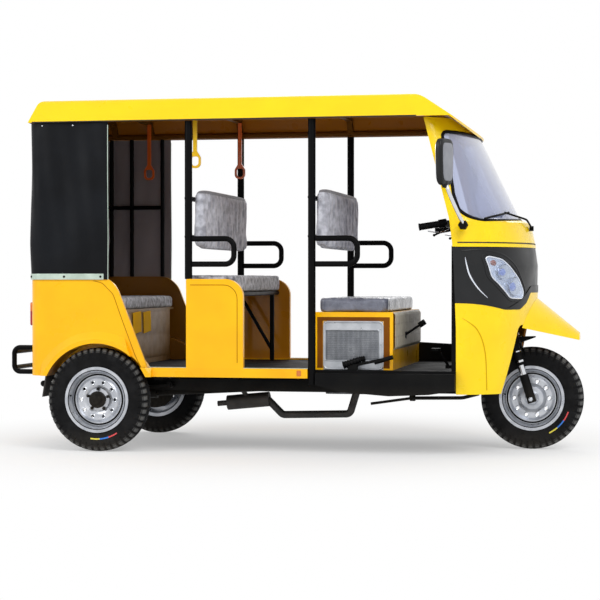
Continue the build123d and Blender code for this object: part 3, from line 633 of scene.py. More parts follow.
def ripple(points: np.ndarray, size: float, seed: int, waves: int = 10) -> np.ndarray:
    """Creased noise from 0 to 1: the mean of folded sines in seeded directions.

    Args:
        points: where the noise is read.
        size: the middle pitch of the sines.
        seed: the seed of their directions, pitches and phases.
        waves: how many sines.

    Returns:
        One value for each point: each wave adds 1 less its sine's size, and is bent by the wave before.
    """
    draw = np.random.default_rng(seed)
    total, bend = np.zeros(len(points)), np.zeros(len(points))
    for _ in range(waves):
        way = draw.normal(size=3)
        way /= np.linalg.norm(way)
        pitch = size * draw.uniform(0.5, 1.6)
        bend = np.sin(points @ way * (2 * math.pi / pitch) + draw.uniform(0, 6.28) + 1.3 * bend)
        total += 1 - np.abs(bend)
    return total / waves


def front_skin(theta: np.ndarray, z: np.ndarray,
               out: float | np.ndarray = 0.0) -> tuple[np.ndarray, np.ndarray]:
    """The front body's skin: half ellipses between FRONT_LEVELS.

    Theta is 0 at the nose and a right angle at the right side.

    Args:
        theta: angles in radians.
        z: heights.
        out: distance outwards along the skin's normal.

    Returns:
        Points and unit normals.
    """
    def base(a: np.ndarray, h: np.ndarray) -> np.ndarray:
        """x is rear plus depth times cosine, and y is minus half width times sine.

        Args:
            a: angle from straight ahead.
            h: height.

        Returns:
            Points on the skin.
        """
        rear, nose, half = [np.interp(h, FRONT_LEVELS[:, 0], FRONT_LEVELS[:, k]) for k in (1, 2, 3)]
        return np.stack([rear + (nose - rear) * np.cos(a), -half * np.sin(a), h], -1)

    theta, z = np.broadcast_arrays(np.asarray(theta, float), np.asarray(z, float))
    point = base(theta, z)
    across = base(theta + 1e-3, z) - base(theta - 1e-3, z)
    rise = base(theta, z + 0.5) - base(theta, z - 0.5)
    normal = unit(np.cross(rise, across))
    return point + normal * np.asarray(out, float)[..., None], normal


def on_front(rows: Sequence, out: float = 0.0) -> tuple[np.ndarray, np.ndarray]:
    """Front-view (y, z) rows carried back onto the front body's skin.

    Args:
        rows: y and height.
        out: distance outwards from the skin.

    Returns:
        Points and unit normals.
    """
    rows = np.asarray(rows, float)
    half = np.interp(rows[:, 1], FRONT_LEVELS[:, 0], FRONT_LEVELS[:, 3])
    return front_skin(np.arcsin(np.clip(-rows[:, 0] / half, -0.9995, 0.9995)), rows[:, 1], out)


def on_side(rows: Sequence, out: float = 0.0) -> tuple[np.ndarray, np.ndarray]:
    """Side-view (x, z) rows carried across onto the right of the front body's skin.

    Args:
        rows: x and height.
        out: distance outwards from the skin.

    Returns:
        Points and unit normals.
    """
    rows = np.asarray(rows, float)
    rear, nose = [np.interp(rows[:, 1], FRONT_LEVELS[:, 0], FRONT_LEVELS[:, k]) for k in (1, 2)]
    return front_skin(np.arccos(np.clip((rows[:, 0] - rear) / (nose - rear), 0.0, 1.0)), rows[:, 1], out)


def steered(up: float, side: float) -> tuple[float, float, float]:
    """A point by its distance from the front axle up the steering axis, and to the side.

    Args:
        up: distance up the steering axis.
        side: distance to the left.

    Returns:
        The point.
    """
    return WHEELBASE - up * math.sin(RAKE), side, TYRE_R + up * math.cos(RAKE)


class Workshop:
    """Turns surfaces into pieces, gives each its finish and sets it on its body."""

    def __init__(self, frame: dict) -> None:
        """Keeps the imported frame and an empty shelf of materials.
        """
        self.frame = frame
        self.shelf: dict[str, bpy.types.Material] = {}

    def material(self, finish: Finish) -> bpy.types.Material:
        """The finish's material, built once.

        Args:
            finish: the finish.

        Returns:
            Its material, built once.
        """
        if finish.name not in self.shelf:
            self.shelf[finish.name] = finish.build()
        return self.shelf[finish.name]

    def coat(self, finish: Finish, *nodes: str) -> None:
        """Gives CAD nodes a finish.

        Args:
            finish: the finish.
            nodes: the nodes' names.
        """
        for node in nodes:
            mesh = self.frame["nodes"][node].data
            mesh.materials.clear()
            mesh.materials.append(self.material(finish))

    def piece(self, name: str, parts: Sequence[Rows], finish: Finish, body: str = "body",
              replaces: Sequence[str] = (), crease: float = 40.0) -> bpy.types.Object:
        """Makes one piece of several surfaces.

        Args:
            name: the piece's name.
            parts: points in millimetres and faces, one pair for each surface.
            finish: its finish.
            body: the body that it rides on.
            replaces: CAD nodes that it stands for.
            crease: the angle in degrees past which an edge stays sharp.

        Returns:
            The piece's object.
        """
        points, faces, total = [], [], 0
        for rows, index in parts:
            points.append(rows)
            faces += [[k + total for k in face] for face in index]
            total += len(rows)
        mesh = bpy.data.meshes.new(name)
        mesh.from_pydata(place(np.concatenate(points)).tolist(), [], faces)
        work = bmesh.new()
        work.from_mesh(mesh)
        bmesh.ops.remove_doubles(work, verts=work.verts, dist=1e-6)
        bmesh.ops.recalc_face_normals(work, faces=work.faces)
        work.to_mesh(mesh)
        work.free()
        mesh.validate()
        mesh.shade_smooth()
        mesh.set_sharp_from_angle(angle=math.radians(crease))
        mesh.materials.append(self.material(finish))
        made = bpy.data.objects.new(name, mesh)
        bpy.context.scene.collection.objects.link(made)
        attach(made, body)
        if replaces:
            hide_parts(*replaces)
        return made


# ---------------------------------------------------------------- finishes

# Baked enamel, sprayed: a deep even yellow under a clear gloss, with a faint orange peel, and brown
# shade on the faces that look inwards.
BODY_ENAMEL = Finish(
    "body_enamel", "#FFBE00", "#FAB600", roughness=0.34, ior=1.3, coat=0.25, grain=Grain.PEEL, grain_mm=9.0,
    grain_depth=0.05, other="#8A5A12", pick=Pick.INWARD, pick_at=(-0.9, 0.0, 0.62))
# The same enamel on flat sheet that has no shaded face.
SHEET_ENAMEL = Finish(
    "sheet_enamel", "#FFC000", "#F7B400", roughness=0.34, ior=1.3, coat=0.25, grain=Grain.PEEL, grain_mm=9.0,
    grain_depth=0.05)
# The same enamel on the middle panels, the front and the roof, with painted brown shade where they look
# inwards.
MID_PANEL_ENAMEL = Finish(
    "mid_panel_enamel_painted_shade", "#FFC000", "#FBB800", roughness=0.34, ior=1.3, coat=0.25, grain=Grain.PEEL,
    grain_mm=9.0, grain_depth=0.05, other="#D98E12", pick=Pick.INWARD, pick_at=(-0.34, 0.0, 0.65))
# The front and the roof are painted a lighter yellow than the middle panels: painted light.
FRONT_ENAMEL = Finish(
    "front_enamel", "#FFDC00", "#FFD400", roughness=0.3, ior=1.35, coat=0.3, grain=Grain.PEEL, grain_mm=9.0,
    grain_depth=0.05, other="#A8690F", pick=Pick.INWARD, pick_at=(0.85, 0.0, 0.9))
ROOF_ENAMEL = Finish(
    "roof_enamel", "#FFD500", "#FFCF00", roughness=0.32, ior=1.33, coat=0.25, grain=Grain.PEEL, grain_mm=9.0,
    grain_depth=0.05, other="#A8660F", pick=Pick.INWARD, pick_at=(-0.2, 0.0, 1.66))
# Powder coat on tube: a soft black sheen with a fine orange peel.
TUBE_BLACK = Finish(
    "tube_powder_coat", "#060607", "#0A0A0B", roughness=0.42, ior=1.16, grain=Grain.PEEL, grain_mm=2.5,
    grain_depth=0.04)
# The same powder coat, brown where the posts' heads stand in the roof's shade.
FRAME_BLACK = replace(TUBE_BLACK, name="upright_powder_coat", other="#6B4210", pick=Pick.ABOVE,
                      pick_at=(0.0, 0.0, 1.679))
# Chassis black, brushed on over welds: flatter, and dusty low down.
CHASSIS_BLACK = Finish(
    "chassis_paint", "#0B0B0C", "#121212", roughness=0.55, uneven=0.15, ior=1.18, grain=Grain.PEEL,
    grain_mm=6.0, grain_depth=0.15, dust="#6F6658", dust_top=0.36)
# Studded rubber mat on the steel deck: dull black, with dust between the studs.
DECK_MAT = Finish(
    "rubber_deck_mat", "#0E0E0F", "#161617", roughness=0.6, ior=1.14, grain=Grain.CHEQUER, grain_mm=22.0,
    grain_depth=0.9, dust="#7A7468", dust_top=0.1)
# Tyre rubber, moulded: deep black with a grey bloom and fine pores, and lighter grey on the tops of the
# shoulder blocks.
TYRE_RUBBER = Finish(
    "tyre_rubber", "#131314", "#1E1E1F", shade_mm=60.0, roughness=0.66, uneven=0.12, ior=1.16,
    grain=Grain.PEEL, grain_mm=3.0, grain_depth=0.12, dust="#57524B", dust_top=0.12, other="#5A5A59",
    pick=Pick.RAISED)
# Sheet rubber, cut: brownish black and dull.
FLAP_RUBBER = Finish(
    "flap_rubber", "#1B1A19", "#2B2723", roughness=0.6, grain=Grain.PEEL, grain_mm=5.0, grain_depth=0.2)
# Extruded rubber: black with a soft sheen.
SEAL_RUBBER = Finish(
    "seal_rubber", "#080809", roughness=0.5, ior=1.2, grain=Grain.PEEL, grain_mm=2.0, grain_depth=0.05)
# Silver wheel lacquer on pressed steel: fine metal flake, slightly clouded.
WHEEL_SILVER = Finish(
    "wheel_silver_lacquer", "#C9CCD2", "#AEB2BA", shade_mm=50.0, metallic=0.75, roughness=0.32, coat=0.4,
    grain=Grain.PEEL, grain_mm=1.6, grain_depth=0.05)
# Zinc plate: cool bright grey for fasteners and the pressed dimples.
ZINC = Finish("zinc_plate", "#DADDE2", "#BFC3C9", shade_mm=20.0, metallic=1.0, roughness=0.22)
# Chrome plate on polished steel: a bright clear mirror.
CHROME = Finish("chrome_plate", "#E3E5E8", "#D4D6DA", metallic=1.0, roughness=0.08, uneven=0.03)
# Mill aluminium strip: pale, slightly green from the film left on it.
STRIP_ALLOY = Finish(
    "aluminium_strip", "#C3D3C6", "#AEBFB2", shade_mm=70.0, metallic=0.55, roughness=0.38, grain=Grain.PEEL,
    grain_mm=3.0, grain_depth=0.05)
# Sand-cast aluminium: dull grey, pitted, and oily low down.
CAST_ALLOY = Finish(
    "cast_alloy", "#6F7072", "#57585B", shade_mm=70.0, metallic=0.7, roughness=0.5, uneven=0.12,
    grain=Grain.PEEL, grain_mm=2.0, grain_depth=0.25, dust="#4A443B", dust_top=0.35)
# Black ABS, moulded and lightly textured, with painted shade a little darker on the faces that look inwards.
MASK_ABS = Finish(
    "moulded_abs", "#161719", "#1C1D1F", roughness=0.36, ior=1.36, grain=Grain.PEEL, grain_mm=1.5,
    grain_depth=0.03, other="#111214", pick=Pick.INWARD, pick_at=(0.85, 0.0, 0.9))
# Black paint on the leg shield's sheet: flat, with hardly any reflection.
SHIELD_BLACK = Finish("shield_paint", "#0A0A0B", "#101011", roughness=0.55, ior=1.16, grain=Grain.PEEL,
                      grain_mm=4.0, grain_depth=0.08)
MIRROR_CASE = Finish(
    "mirror_case_abs", "#0F1012", roughness=0.38, ior=1.36, grain=Grain.PEEL, grain_mm=1.5, grain_depth=0.03)
# Grey ABS panel clipped into the case's back: a satin sheen.
MIRROR_BACK = Finish("mirror_back_panel", "#8A8C94", "#7A7C84", shade_mm=90.0, roughness=0.42, coat=0.1,
                     grain=Grain.PEEL, grain_mm=2.0, grain_depth=0.03)
# Silvered glass: a clean mirror.
MIRROR_GLASS = Finish("mirror_silvering", "#E8EBEE", metallic=1.0, roughness=0.03, uneven=0.01)
# Moulded nylon hand straps: glossy, lemon on the right side and orange on the left.
STRAP_NYLON = Finish(
    "strap_nylon", "#F0C21C", "#E6B41A", roughness=0.35, coat=0.3, grain=Grain.PEEL, grain_mm=3.0,
    grain_depth=0.05, other="#DE641A", pick=Pick.LEFT)
# Coated PVC cloth: near black outside with a slight sheen, grey-brown felt backing.
CURTAIN_PVC = Finish(
    "coated_pvc_cloth", "#0E0F12", "#14161A", shade_mm=240.0, roughness=0.48, uneven=0.1, ior=1.2,
    grain=Grain.WEAVE, grain_mm=1.6, grain_depth=0.05, other="#8C8486", pick=Pick.INWARD,
    pick_at=(-0.95, 0.0, 1.3))
# Printed polyester cover, gathered on elastic: mid grey, soft and creased.
SEAT_CLOTH = Finish(
    "gathered_polyester", "#66676F", "#CBCCD4", shade_mm=27.0, roughness=0.72, sheen=0.35, grain=Grain.WEAVE,
    grain_mm=1.2, grain_depth=0.12)
# The same cloth in paler folds, with a darker band along the top.
BACK_CLOTH = replace(
    SEAT_CLOTH, name="gathered_back_cover", colour="#9A9BA5", shade="#D4D5DE", shade_mm=40.0, other="#77787F",
    pick=Pick.ABOVE, pick_at=(0.0, 0.0, 1.318))
# Grey vinyl still in its clear film: a wet gloss over soft wrinkles.
FILM_SEAT = Finish(
    "film_wrapped_vinyl", "#585B68", "#7A7D8B", shade_mm=70.0, roughness=0.3, uneven=0.12, coat=0.35,
    grain=Grain.PEEL, grain_mm=26.0, grain_depth=0.7)
# Embossed vinyl: soft sheen over a fine hide grain, beige for the driver and brown at the rear.
QUILT_BEIGE = Finish(
    "quilted_vinyl", "#D2CBB8", "#BEB5A0", shade_mm=60.0, roughness=0.45, sheen=0.1, grain=Grain.HIDE,
    grain_mm=2.2, grain_depth=0.08)
QUILT_BROWN = Finish(
    "quilted_vinyl_brown", "#9A7A4E", "#876538", shade_mm=80.0, roughness=0.42, grain=Grain.HIDE,
    grain_mm=2.2, grain_depth=0.08)
# Vinyl drawn tight over the buttons and seams: a darker, smoother brown.
BUTTON_BROWN = Finish("button_vinyl", "#6A4E2E", roughness=0.4)
# Radiator core: soldered brass fins, painted grey.
CORE_GREY = Finish("radiator_core", "#7D8086", "#6B6E74", shade_mm=60.0, metallic=0.4, roughness=0.5)
# Rolled aluminium of the radiator's tanks and rim: pale with a soft shine.
TANK_ALLOY = Finish("radiator_tank", "#C4C7CC", "#AEB2B8", shade_mm=60.0, metallic=0.6, roughness=0.35,
                    grain=Grain.PEEL, grain_mm=3.0, grain_depth=0.06)
# Heat-resistant paint: flat black, burnt to brown in patches.
EXHAUST_BLACK = Finish("heatproof_black", "#1A1918", "#2C2724", shade_mm=90.0, roughness=0.6, uneven=0.15,
                       grain=Grain.PEEL, grain_mm=3.0, grain_depth=0.12)
# Moulded acrylic: glossy red with prism ribs, amber in the upper part.
LENS_RED = Finish("red_acrylic", "#A80F12", "#8E0C10", roughness=0.12, coat=0.6, grain=Grain.RIBS,
                  grain_mm=5.0, grain_depth=0.5, other="#E07A12", pick=Pick.ABOVE, pick_at=(0.0, 0.0, 0.715))
REFLECTOR_AMBER = Finish("amber_reflector", "#D9791A", "#C8690F", roughness=0.2, coat=0.6,
                         grain=Grain.CHEQUER, grain_mm=4.0, grain_depth=0.3)
# Vacuum-silvered bowl: bright, broken up by its facets; then blue discs of painted reflection, and the amber
# bulb.
LAMP_SILVER = Finish("lamp_bowl_silvering", "#F0F3FA", "#D8DFEC", shade_mm=25.0, metallic=0.6, roughness=0.22)
LAMP_BLUE = Finish("lamp_painted_blue_reflection", "#7F93D8", "#9FB0E8", shade_mm=20.0, roughness=0.1, coat=0.8)
LAMP_AMBER = Finish("amber_bulb", "#B5502A", "#9C4020", roughness=0.15, coat=0.6)
# The shade that lies in a pressed line of the yellow sheet, deeper on the body than on the cowl.
CREASE_SHADE = Finish("pressed_line", "#A87300", roughness=0.6, ior=1.2)
COWL_CREASE_SHADE = Finish("cowl_crease_shade", "#CF9F00", roughness=0.55, ior=1.2)
# Woven polyester webbing: flat bright yellow.
STRAP_WEBBING = Finish("woven_webbing", "#FFC400", "#F5B800", roughness=0.7, ior=1.2, grain=Grain.WEAVE,
                       grain_mm=1.5, grain_depth=0.1)
# Painted shade: brown on the thin plates round the radiator, which makes them look like a shaded recess.
PAINTED_RECESS_SHADE = Finish("seat_box_painted_shade", "#7A4508", "#6A3A06", roughness=0.6, ior=1.2)
# The dark of a gap between two sheets; under the roof's edge it is painted shade.
SEAM_DARK = Finish("seam_gap_and_painted_shade", "#2A2208", roughness=0.6)
# Marks painted on the sidewalls: flat, bright colours.
STRIPE = {
    colour: Finish("sidewall_paint_" + colour, code, roughness=0.5)
    for colour, code in (("yellow", "#E8D84A"), ("blue", "#2F78D6"), ("red", "#D8484A"))
}


@dataclass(frozen=True)
class ClearGlass:
    """Thin clear sheet: a see-through coat that mirrors more at a slant."""

    name: str = "laminated_glass"
    tint: str = "#DDE6EE"
    haze: float = 0.16
    pale: str = "#C9D2DC"

    def build(self) -> bpy.types.Material:
        """Mixes transparent, a pale haze and a sharp gloss.

        The gloss's share is 0.75 times the fourth power of the slant, plus 0.04.

        Returns:
            The node material.
        """
        made = bpy.data.materials.new(self.name)
        made.use_nodes = True
        tree = made.node_tree
        tree.nodes.clear()
        clear = add_node(tree, "BsdfTransparent", Color=linear(self.tint)).outputs[0]
        body = add_node(tree, "BsdfPrincipled", Base_Color=linear(self.pale), Roughness=0.08, Coat_Weight=0.5)
        hazed = add_node(tree, "MixShader", i0=self.haze, i1=clear, i2=body.outputs[0]).outputs[0]
        shine = add_node(tree, "BsdfAnisotropic", Color=linear("#FFFFFF"), Roughness=0.03).outputs[0]
        edge = add_node(tree, "LayerWeight", Blend=0.5).outputs["Facing"]
        slant = add_node(tree, "Math", {"operation": "POWER"}, i0=edge, i1=4.0).outputs[0]
        share = add_node(tree, "Math", {"operation": "MULTIPLY_ADD"}, i0=slant, i1=0.75, i2=0.04).outputs[0]
        surface = add_node(tree, "MixShader", i0=share, i1=hazed, i2=shine)
        add_node(tree, "OutputMaterial", Surface=surface.outputs[0])
        return made


WINDSCREEN_GLASS = ClearGlass(tint="#E2E6F4", haze=0.42, pale="#B9C0DA")
LAMP_LENS = ClearGlass("lamp_lens_polycarbonate", "#F2F5FA", haze=0.06)


# ---------------------------------------------------------------- stage

@dataclass
class Stage:
    """Pale floor, white surround, soft lamps and the camera."""

    eye: tuple[float, float, float] = (1.822, -9.253, 0.876)
    azimuth: float = 11.28
    pitch: float = 0.648
    lens: float = 106.2
    sensor: float = 36.0
    floor_size: float = 60.0
    floor_grey: float = 0.93
    shadow_to: float = 0.9
    white_from: float = 2.6
    sky: float = 0.55
    # Each lamp: place, aim, diameter, power
    lamps: tuple = (
        ((3.6, -5.2, 5.6), (0.3, 0.0, 0.8), 4.5, 275.0),
        ((-4.6, -4.0, 3.6), (-0.6, 0.0, 0.8), 4.0, 120.0),
        ((0.0, 5.5, 5.0), (0.0, 0.0, 1.0), 5.0, 125.0),
    )

    def build(self) -> None:
        """Sets the colour view, world, floor, lamps and camera."""
        scene = bpy.context.scene
        scene.view_settings.view_transform = "Standard"
        self._world(scene)
        self._floor()
        for n, (spot, aim, size, power) in enumerate(self.lamps):
            data = bpy.data.lights.new(f"softbox_{n}", "AREA")
            data.shape, data.size, data.energy = "DISK", size, power
            lamp = bpy.data.objects.new(f"softbox_{n}", data)
            lamp.location = spot
            lamp.rotation_mode = "QUATERNION"
            lamp.rotation_quaternion = (Vector(aim) - Vector(spot)).to_track_quat("-Z", "Y")
            scene.collection.objects.link(lamp)
        data = bpy.data.cameras.new("camera")
        data.lens, data.sensor_width = self.lens, self.sensor
        data.clip_start, data.clip_end = 0.1, 200.0
        camera = bpy.data.objects.new("camera", data)
        camera.location = self.eye
        camera.rotation_euler = (math.radians(90 - self.pitch), 0.0, math.radians(self.azimuth))
        scene.collection.objects.link(camera)
        scene.camera = camera

    @staticmethod
    def _seen(tree: bpy.types.NodeTree) -> bpy.types.NodeSocket:
        """1 for rays from the camera, a mirror or a glass.

        Args:
            tree: the node tree that is being built.

        Returns:
            The socket.
        """
        path = add_node(tree, "LightPath").outputs
        two = add_node(tree, "Math", {"operation": "MAXIMUM"}, i0=path["Is Camera Ray"],
                       i1=path["Is Glossy Ray"]).outputs[0]
        return add_node(tree, "Math", {"operation": "MAXIMUM"}, i0=two,
                        i1=path["Is Transmission Ray"]).outputs[0]

    def _world(self, scene: bpy.types.Scene) -> None:
        """White where it is seen, and a plain soft light elsewhere.

        Args:
            scene: the scene.
        """
        world = bpy.data.worlds.new("studio")
        scene.world = world
        world.use_nodes = True
        tree = world.node_tree
        tree.nodes.clear()
        light = add_node(tree, "Background", Color=(1.0, 1.0, 1.0, 1.0), Strength=self.sky)
        white = add_node(tree, "Background", Color=(1.0, 1.0, 1.0, 1.0), Strength=1.0)
        both = add_node(tree, "MixShader", i0=self._seen(tree), i1=light.outputs[0], i2=white.outputs[0])
        add_node(tree, "OutputWorld", Surface=both.outputs[0])

    def _floor(self) -> None:
        """A large sheet: matt near the vehicle, where its shadow falls, fading to white further out."""
        mesh = bpy.data.meshes.new("floor")
        r = self.floor_size
        mesh.from_pydata([(-r, -r, 0), (r, -r, 0), (r, r, 0), (-r, r, 0)], [], [(0, 1, 2, 3)])
        made = bpy.data.materials.new("pale_floor")
        made.use_nodes = True
        tree = made.node_tree
        tree.nodes.clear()
        matt = add_node(tree, "BsdfDiffuse", Color=(self.floor_grey,) * 3 + (1.0,)).outputs[0]
        white = add_node(tree, "Emission", Color=(1.0, 1.0, 1.0, 1.0), Strength=1.0).outputs[0]
        where = add_node(tree, "TexCoord").outputs["Object"]
        far = add_node(tree, "VectorMath", {"operation": "LENGTH"}, i0=where).outputs["Value"]
        fade = add_node(tree, "MapRange", {"interpolation_type": "SMOOTHSTEP"}, Value=far,
                        From_Min=self.shadow_to, From_Max=self.white_from, To_Min=0.35,
                        To_Max=1.0).outputs["Result"]
        share = add_node(tree, "Math", {"operation": "MULTIPLY"}, i0=fade, i1=self._seen(tree)).outputs[0]
        both = add_node(tree, "MixShader", i0=share, i1=matt, i2=white)
        add_node(tree, "OutputMaterial", Surface=both.outputs[0])
        mesh.materials.append(made)
        floor = bpy.data.objects.new("floor", mesh)
        bpy.context.scene.collection.objects.link(floor)


# ---------------------------------------------------------------- wheels

@dataclass
class Tyre:
    """One road tyre: beads, lettering-free sidewalls with moulded rings, and a lugged tread."""

    name: str
    body: str
    centre: tuple[float, float, float]
    stripe_from: float
    stripe_to: float
    pitches: int = 46
    steps: int = 12
    groove: float = 7.0
    ring_y: float = 12.0
    ring_half: float = 3.6
    zigzag: float = 4.0
    lug_share: float = 0.15
    shoulder_y: float = 24.0
    ledge_r: float = 246.0
    tread_r: float = 224.0
    bands: tuple[float, float] = (178.0, 226.0)
    stripe_r: tuple[float, float] = (196.0, 203.0)
    section: tuple = ((153.0, 48.0), (168.0, 48.4), (172.0, 51.6), (190.0, 55.4), (213.0, 57.2),
                      (235.0, 54.6), (250.0, 49.5), (257.5, 43.5), (262.0, 33.5), (264.3, 18.0), (265.0, 0.0))

    def build(self, shop: Workshop) -> None:
        """Makes the casing with its tread, and the painted stripe on the outer sidewall.

        Args:
            shop: where pieces are made.
        """
        surface, raised = self._casing()
        made = shop.piece(self.name + "_treaded", [surface], TYRE_RUBBER, self.body,
                          (self.name,), crease=50.0)
        mark = made.data.attributes.new("raised", "FLOAT", "POINT")
        mark.data.foreach_set("value", raised.ravel())
        span = (self.stripe_to - self.stripe_from) / 3
        for n, colour in enumerate(("yellow", "blue", "red")):
            start = self.stripe_from + n * span
            shop.piece(f"{self.name}_stripe_{colour}", [self._stripe(start, start + span)], STRIPE[colour],
                       self.body)

    def _line(self) -> np.ndarray:
        """The section from bead to bead, evenly spaced, as (radius, width).

        Returns:
            Rows of radius and width.
        """
        right = smooth(self.section, 60)
        return even(np.concatenate([right, right[-2::-1] * (1, -1)]), 84)

    def _casing(self) -> tuple[Rows, np.ndarray]:
        """Turns the section about the axle and sinks the tread's grooves.

        The depth is the greatest of three masks: two zigzag grooves round the crown, and cross
        grooves on each shoulder that are half a pitch apart from side to side, parted by a ledge.
        Two thin rings stand out of the sidewalls. The tops of the shoulder blocks are marked
        as raised.

        Returns:
            The points and faces, and for each point how far it is marked, from 0 to 1.
        """
        line = self._line()
        count = self.pitches * self.steps
        angle = np.linspace(0, 2 * math.pi, count, endpoint=False)[:, None]
        radius, width = line[None, :, 0], line[None, :, 1]
        u = angle * self.pitches / (2 * math.pi)
        off, side = np.abs(width), np.sign(width)
        zig = self.zigzag * (2 * np.abs((u % 1.0) - 0.5) * 2 - 1)
        crown = np.minimum(np.abs(width - self.ring_y - zig), np.abs(width + self.ring_y - zig))
        rings = ramp((self.ring_half - crown) / 1.6)
        offset = np.where(width > 0, 0.0, 0.5) + 0.004 * off
        across = np.abs((u + offset) % 1.0 - 0.5)
        lugs = ramp((self.lug_share - across) / 0.05) * ramp((off - self.shoulder_y) / 3)
        ledge = ramp((1.5 - np.abs(radius - self.ledge_r)) / 1.2) * ramp((off - 40) / 3)
        lugs = np.maximum(lugs, 0.8 * ledge)
        depth = self.groove * np.maximum(rings, lugs) * ramp((radius - self.tread_r) / 5)
        rise = 0.9 * (np.exp(-((radius - self.bands[0]) / 1.6) ** 2)
                      + np.exp(-((radius - self.bands[1]) / 1.6) ** 2))
        r = radius - depth
        w = width - side * depth * 0.35 * ramp((off - 40) / 10)
        w = w + side * rise * (off > 40)
        ring = stacked(r * np.cos(angle), w, r * np.sin(angle))
        edge = ramp((off - 26) / 8) * ramp((radius - 240) / 4)
        grey_tops = edge * ramp(1 - depth / 1.5) * (0.35 + 0.65 * ramp((across - 0.2) / 0.1))
        return ((ring + np.array(self.centre)).reshape(-1, 3), quads(count, len(line), True, True)), grey_tops

    def _stripe(self, start: float, stop: float) -> Rows:
        """A thin painted band on the outer sidewall.

        Args:
            start: where it begins, in degrees from straight down.
            stop: where it ends.

        Returns:
            Points and faces of a closed band.
        """
        out = -1 if self.centre[1] <= 0 else 1
        angle = np.radians(np.linspace(start, stop, 14))
        inner, outer = self.stripe_r
        rows = []
        for r, lift in ((inner, 0.0), (inner, 1.0), (outer, 1.0), (outer, 0.0)):
            w = float(np.interp(r, [190, 213], [55.4, 57.2])) + lift
            rows.append(np.stack([r * np.sin(angle), np.full(14, out * w), -r * np.cos(angle)], -1))
        ring = np.stack(rows, 1) + np.array(self.centre)
        faces = quads(14, 4, False, True) + [[3, 2, 1, 0], [52, 53, 54, 55]]
        return ring.reshape(-1, 3), faces


@dataclass
class Wheel:
    """The dressing of one CAD wheel: black rings of painted shade in the rim's grooves, dimple rings, hub and
    nuts, and the valve.
    """

    name: str
    body: str
    centre: tuple[float, float, float]
    sides: tuple[int, ...]
    driven: bool = True
    hole_ring: float = 90.0
    holes: int = 10
    nut_ring: float = 54.0
    nuts: int = 5
    # Profiles turned about the axle or a hole, as radius and distance outwards
    grooves: tuple = (((123, 20.4), (123, 21.6), (132, 21.6), (132, 20.4)),
                      ((149, 54.2), (150.5, 55.8), (153, 55.8), (153, 54.2)))
    dimple: tuple = ((8.0, 29.0), (8.2, 31.6), (10.5, 32.6), (13.0, 31.2), (14.0, 29.6), (13.0, 29.0))
    hub: tuple = ((0, 45.0), (0, 62.0), (16, 61.5), (24, 57.0), (27, 50.0), (40, 48.0), (43, 45.0),
                  (43, 30.0), (0, 30.0))

    def build(self, shop: Workshop) -> None:
        """Coats the CAD wheel and adds the small pieces on each outer side.

        Args:
            shop: where pieces are made.
        """
        shop.coat(WHEEL_SILVER, self.name)
        dimples, dark, cap, nuts = [], [], [], []
        for out in self.sides:
            dark += [lathe(self._faced(rows, out), self.centre, 72) for rows in self.grooves]
            for k in range(self.holes):
                spot = self._spot(self.hole_ring, 2 * math.pi * k / self.holes)
                dimples.append(lathe(self._faced(self.dimple, out), spot, 20))
            if self.driven:
                cap.append(lathe(self._faced(self.hub, out), self.centre, 36))
                spots = [self._spot(self.nut_ring, a, out * 27)
                         for a in np.linspace(0, 2 * math.pi, self.nuts, endpoint=False) + 0.3]
                nuts.append(studs(spots, (0, out, 0), 8.5, 15.0, 6))
        shop.piece(self.name + "_dimples", dimples, ZINC, self.body)
        # Black rings in the rim's grooves: painted shade.
        shop.piece(self.name + "_groove", dark, SEAL_RUBBER, self.body)
        if cap:
            shop.piece(self.name + "_hub_cap", cap, CHASSIS_BLACK, self.body)
            shop.piece(self.name + "_nuts", nuts, CHASSIS_BLACK, self.body, crease=25.0)
        x, y, z = self.centre
        lean = self.sides[0]
        stem = [(x - 140, y + lean * 40, z + 20), (x - 139, y + lean * 52, z + 20),
                (x - 134, y + lean * 62, z + 19)]
        shop.piece(self.name + "_valve", [carried(smooth(stem, 8), circle(3.5, 10))], SEAL_RUBBER,
                   self.body)

    def _spot(self, radius: float, angle: float, out: float = 0.0) -> tuple[float, float, float]:
        """A place round the axle: its radius times the cosine ahead, and times the sine up.

        Args:
            radius: distance from the axle.
            angle: in radians from straight ahead.
            out: distance along the axle.

        Returns:
            The place.
        """
        x, y, z = self.centre
        return x + radius * math.cos(angle), y + out, z + radius * math.sin(angle)

    @staticmethod
    def _faced(rows: Sequence, out: int) -> list[tuple[float, float]]:
        """Turns a profile to one side of the wheel.

        Args:
            rows: radius and distance outwards.
            out: 1 for the left side and -1 for the right.

        Returns:
            Radius and distance along y.
        """
        return [(r, out * w) for r, w in rows]


# ---------------------------------------------------------------- soft goods and panels

def walled(grid: np.ndarray, push: np.ndarray | Sequence, wrap: bool = False) -> Rows:
    """A sheet with thickness: the grid and its copy moved by push, joined round the rim.

    Args:
        grid: rows by columns of points.
        push: one vector, or one for each point, from this face to the other.
        wrap: whether each row closes on itself.

    Returns:
        Points and faces of a closed shell.
    """
    rows, columns = grid.shape[:2]
    count = rows * columns
    points = np.concatenate([grid.reshape(-1, 3), (grid + np.asarray(push, float)).reshape(-1, 3)])
    front = quads(rows, columns, False, wrap)
    faces = front + [[k + count for k in face[::-1]] for face in front]
    index = np.arange(count).reshape(rows, columns)
    if wrap:
        rims = [index[0], index[-1]]
    else:
        rims = [np.concatenate([index[0], index[1:, -1], index[-1, -2::-1], index[-2:0:-1, 0]])]
    for rim in rims:
        ahead = np.roll(rim, -1)
        faces += np.stack([ahead, rim, rim + count, ahead + count], -1).tolist()
    return points, faces


